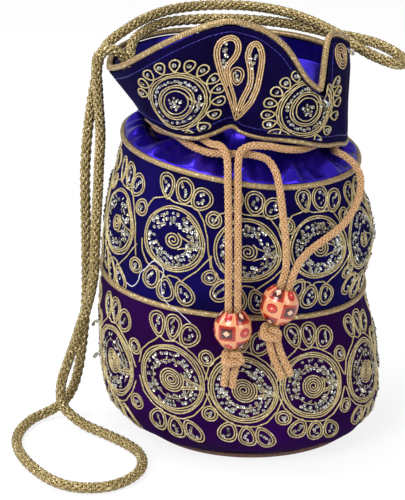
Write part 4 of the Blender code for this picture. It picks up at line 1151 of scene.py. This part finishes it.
paisley_motif(LEFT_PAISLEY, (-4.2, 38.0)).place(
    "embroidery_paisley_left", on_collar(*PAISLEY_TIP), "gold_thread",
    [paisley_thread, sequins], "collar_paisley_left")
right_paisley = paisley_motif(RIGHT_PAISLEY, (9.0, 32.0))
petal(right_paisley, (1.8, 25.5), 2.9, 4.6, 4.0, 0.4, 3)
right_paisley.place("embroidery_paisley_right", on_collar(*PAISLEY_TIP), "gold_thread",
                    [paisley_thread, sequins], "collar_paisley_right")

petal_motif = Stitching()
for inwards in (0.0, 1.0, 2.0, 3.0):
    petal_motif.thread(drop((0.0, 0.0), 5.2 - 1.3 * inwards, 8.8 - 1.8 * inwards, 135.0, 0.2), closed=True)
petal_motif.place("embroidery_petal", on_collar(62.0, 212.0), "gold_thread", [paisley_thread])


# Stitching and loose bits
def stitch_row(name, distance, edge, upwards):
    """A row of top stitches that keeps its distance from the collar's hem or rim."""
    theta = np.linspace(-pi, pi, EDGE_POINTS)
    path = np.stack((theta * OPENED_RADIUS, edge(np.degrees(theta))), axis=1)
    along = directions(path)
    away = np.stack((-along[:, 1], along[:, 0]), axis=1) * (1 if upwards else -1)
    moved = path + away * distance
    kept = [point for point in moved if np.min(np.linalg.norm(path - point, axis=1)) > distance * 0.96]
    u, z = resampled(np.array(kept), 1.0).T
    place = collar_point(u / OPENED_RADIUS, collar_share(u / OPENED_RADIUS, z), 0.28)
    _, side, up = frames_along(place)
    radius = 0.3 + 0.12 * np.cos(np.arange(len(place)) * 2 * pi / 3)
    dress(add_mesh(name, tube(place, side, up, radius, THREAD_SIDES), [stitch_thread]), "bag", "collar_velvet")


stitch_row("top_stitch_rim", STITCH_INSET, collar_rim, False)
stitch_row("top_stitch_hem", STITCH_INSET, collar_hem, True)

loose = smooth_route(LOOSE_THREAD, 0.8)
loose = loose + unit(loose * (1.0, 1.0, 0.0)) * 0.5
_, side, up = frames_along(loose)
dress(add_mesh("loose_white_thread", tube(loose, side, up, 0.26, THREAD_SIDES), [white_thread]), "bag",
      "gold_thread")


# Sequins that hang loose on a thread: where each thread starts and ends
LOOSE_SEQUINS = [((-75.2, -14.0, 63.0), (-78.6, -14.5, 59.5)), ((-75.6, -14.0, 44.0), (-78.4, -14.5, 40.5)),
                 ((53.6, -30.0, 216.0), (56.4, -30.5, 213.6)), ((72.6, -14.0, 24.8), (75.2, -14.5, 21.6))]
for number, (start, end) in enumerate(LOOSE_SEQUINS, 1):
    start, end = np.array(start), np.array(end)
    loose_sequins = Stitching()
    loose_sequins.thread([(0.0, 0.0), tuple((end - start)[[0, 2]])], radius=0.22)
    for share in (0.6, 0.85, 1.05):
        loose_sequins.sequin(*(share * (end - start)[[0, 2]]), radius=1.1)
    loose_sequins.place(f"loose_sequins_{number}",
                        lambda points, at=start: at + stacked(points[:, 0], -points[:, 2], points[:, 1]),
                        "gold_thread", [gold_thread, sequins])


# CAD nodes that stay
finish_node("base_panel", plain_cloth("base_panel_cloth", (0.030, 0.004, 0.105), (0.012, 0.001, 0.045)))
finish_node("bag_lining", shaded_lining_satin)


# Floor and light
WHITE = (1.0, 1.0, 1.0, 1.0)
FLOOR_REACH, FLOOR_DROP = 3.0, 0.0004
FLOOR_GLOW, FLOOR_GLOW_SHARE = 1.08, 0.76
WORLD_LIGHT = 0.42
LAMP_AIM = Vector((0, 0, 0.12))
# Lamps: place and size in metres, and power in watts
LAMPS = {"key_lamp": ((-0.75, -1.1, 1.05), (0.7, 0.7), 15.0),
         "fill_lamp": ((1.0, -0.9, 0.7), (0.5, 0.9), 5.0),
         "top_lamp": ((-0.25, 0.1, 1.3), (0.5, 0.5), 7.0),
         "left_strip": ((-1.1, 0.0, 0.8), (0.25, 0.9), 4.0)}


def mix_seen(tree, seen, otherwise, shown, end):
    """Ends a node tree on one shader for the share that the camera sees and another for the rest."""
    mix = tree.nodes.new("ShaderNodeMixShader")
    for output, socket in zip((seen, otherwise, shown), mix.inputs):
        tree.links.new(output, socket)
    tree.links.new(mix.outputs[0], tree.nodes[end].inputs["Surface"])


def make_floor():
    mesh = bpy.data.meshes.new("floor")
    corners = ((-1, -1), (1, -1), (1, 1), (-1, 1))
    mesh.from_pydata([(x * FLOOR_REACH, y * FLOOR_REACH, 0) for x, y in corners], [], [(0, 1, 2, 3)])
    floor = linked("floor", mesh)
    floor.location.z = -FLOOR_DROP
    look = Look("pale_floor", Base_Color=(0.86, 0.86, 0.86, 1.0), Roughness=0.9)
    seen = look.math("MULTIPLY", look.node("LightPath", {}, output="Is Camera Ray"), FLOOR_GLOW_SHARE)
    glow = look.node("Emission", {"Strength": FLOOR_GLOW})
    mix_seen(look.tree, seen, look.shader.outputs[0], glow, "Material Output")
    mesh.materials.append(look.material)


def make_lamp(name, place, size, power):
    data = bpy.data.lights.new(name, "AREA")
    data.shape = "RECTANGLE"
    data.size, data.size_y = size
    data.energy = power
    lamp = linked(name, data)
    lamp.location = place
    lamp.rotation_euler = (LAMP_AIM - Vector(place)).to_track_quat("-Z", "Y").to_euler()


def make_world():
    world = bpy.data.worlds.new("studio")
    world.use_nodes = True
    tree = world.node_tree
    light, seen = tree.nodes["Background"], tree.nodes.new("ShaderNodeBackground")
    for background, strength in ((light, WORLD_LIGHT), (seen, 1.0)):
        background.inputs["Color"].default_value = WHITE
        background.inputs["Strength"].default_value = strength
    ray = tree.nodes.new("ShaderNodeLightPath")
    mix_seen(tree, ray.outputs["Is Camera Ray"], light.outputs[0], seen.outputs[0], "World Output")
    bpy.context.scene.world = world


make_floor()
for name, lamp in LAMPS.items():
    make_lamp(name, *lamp)
make_world()
bpy.context.scene.view_settings.view_transform = "Standard"
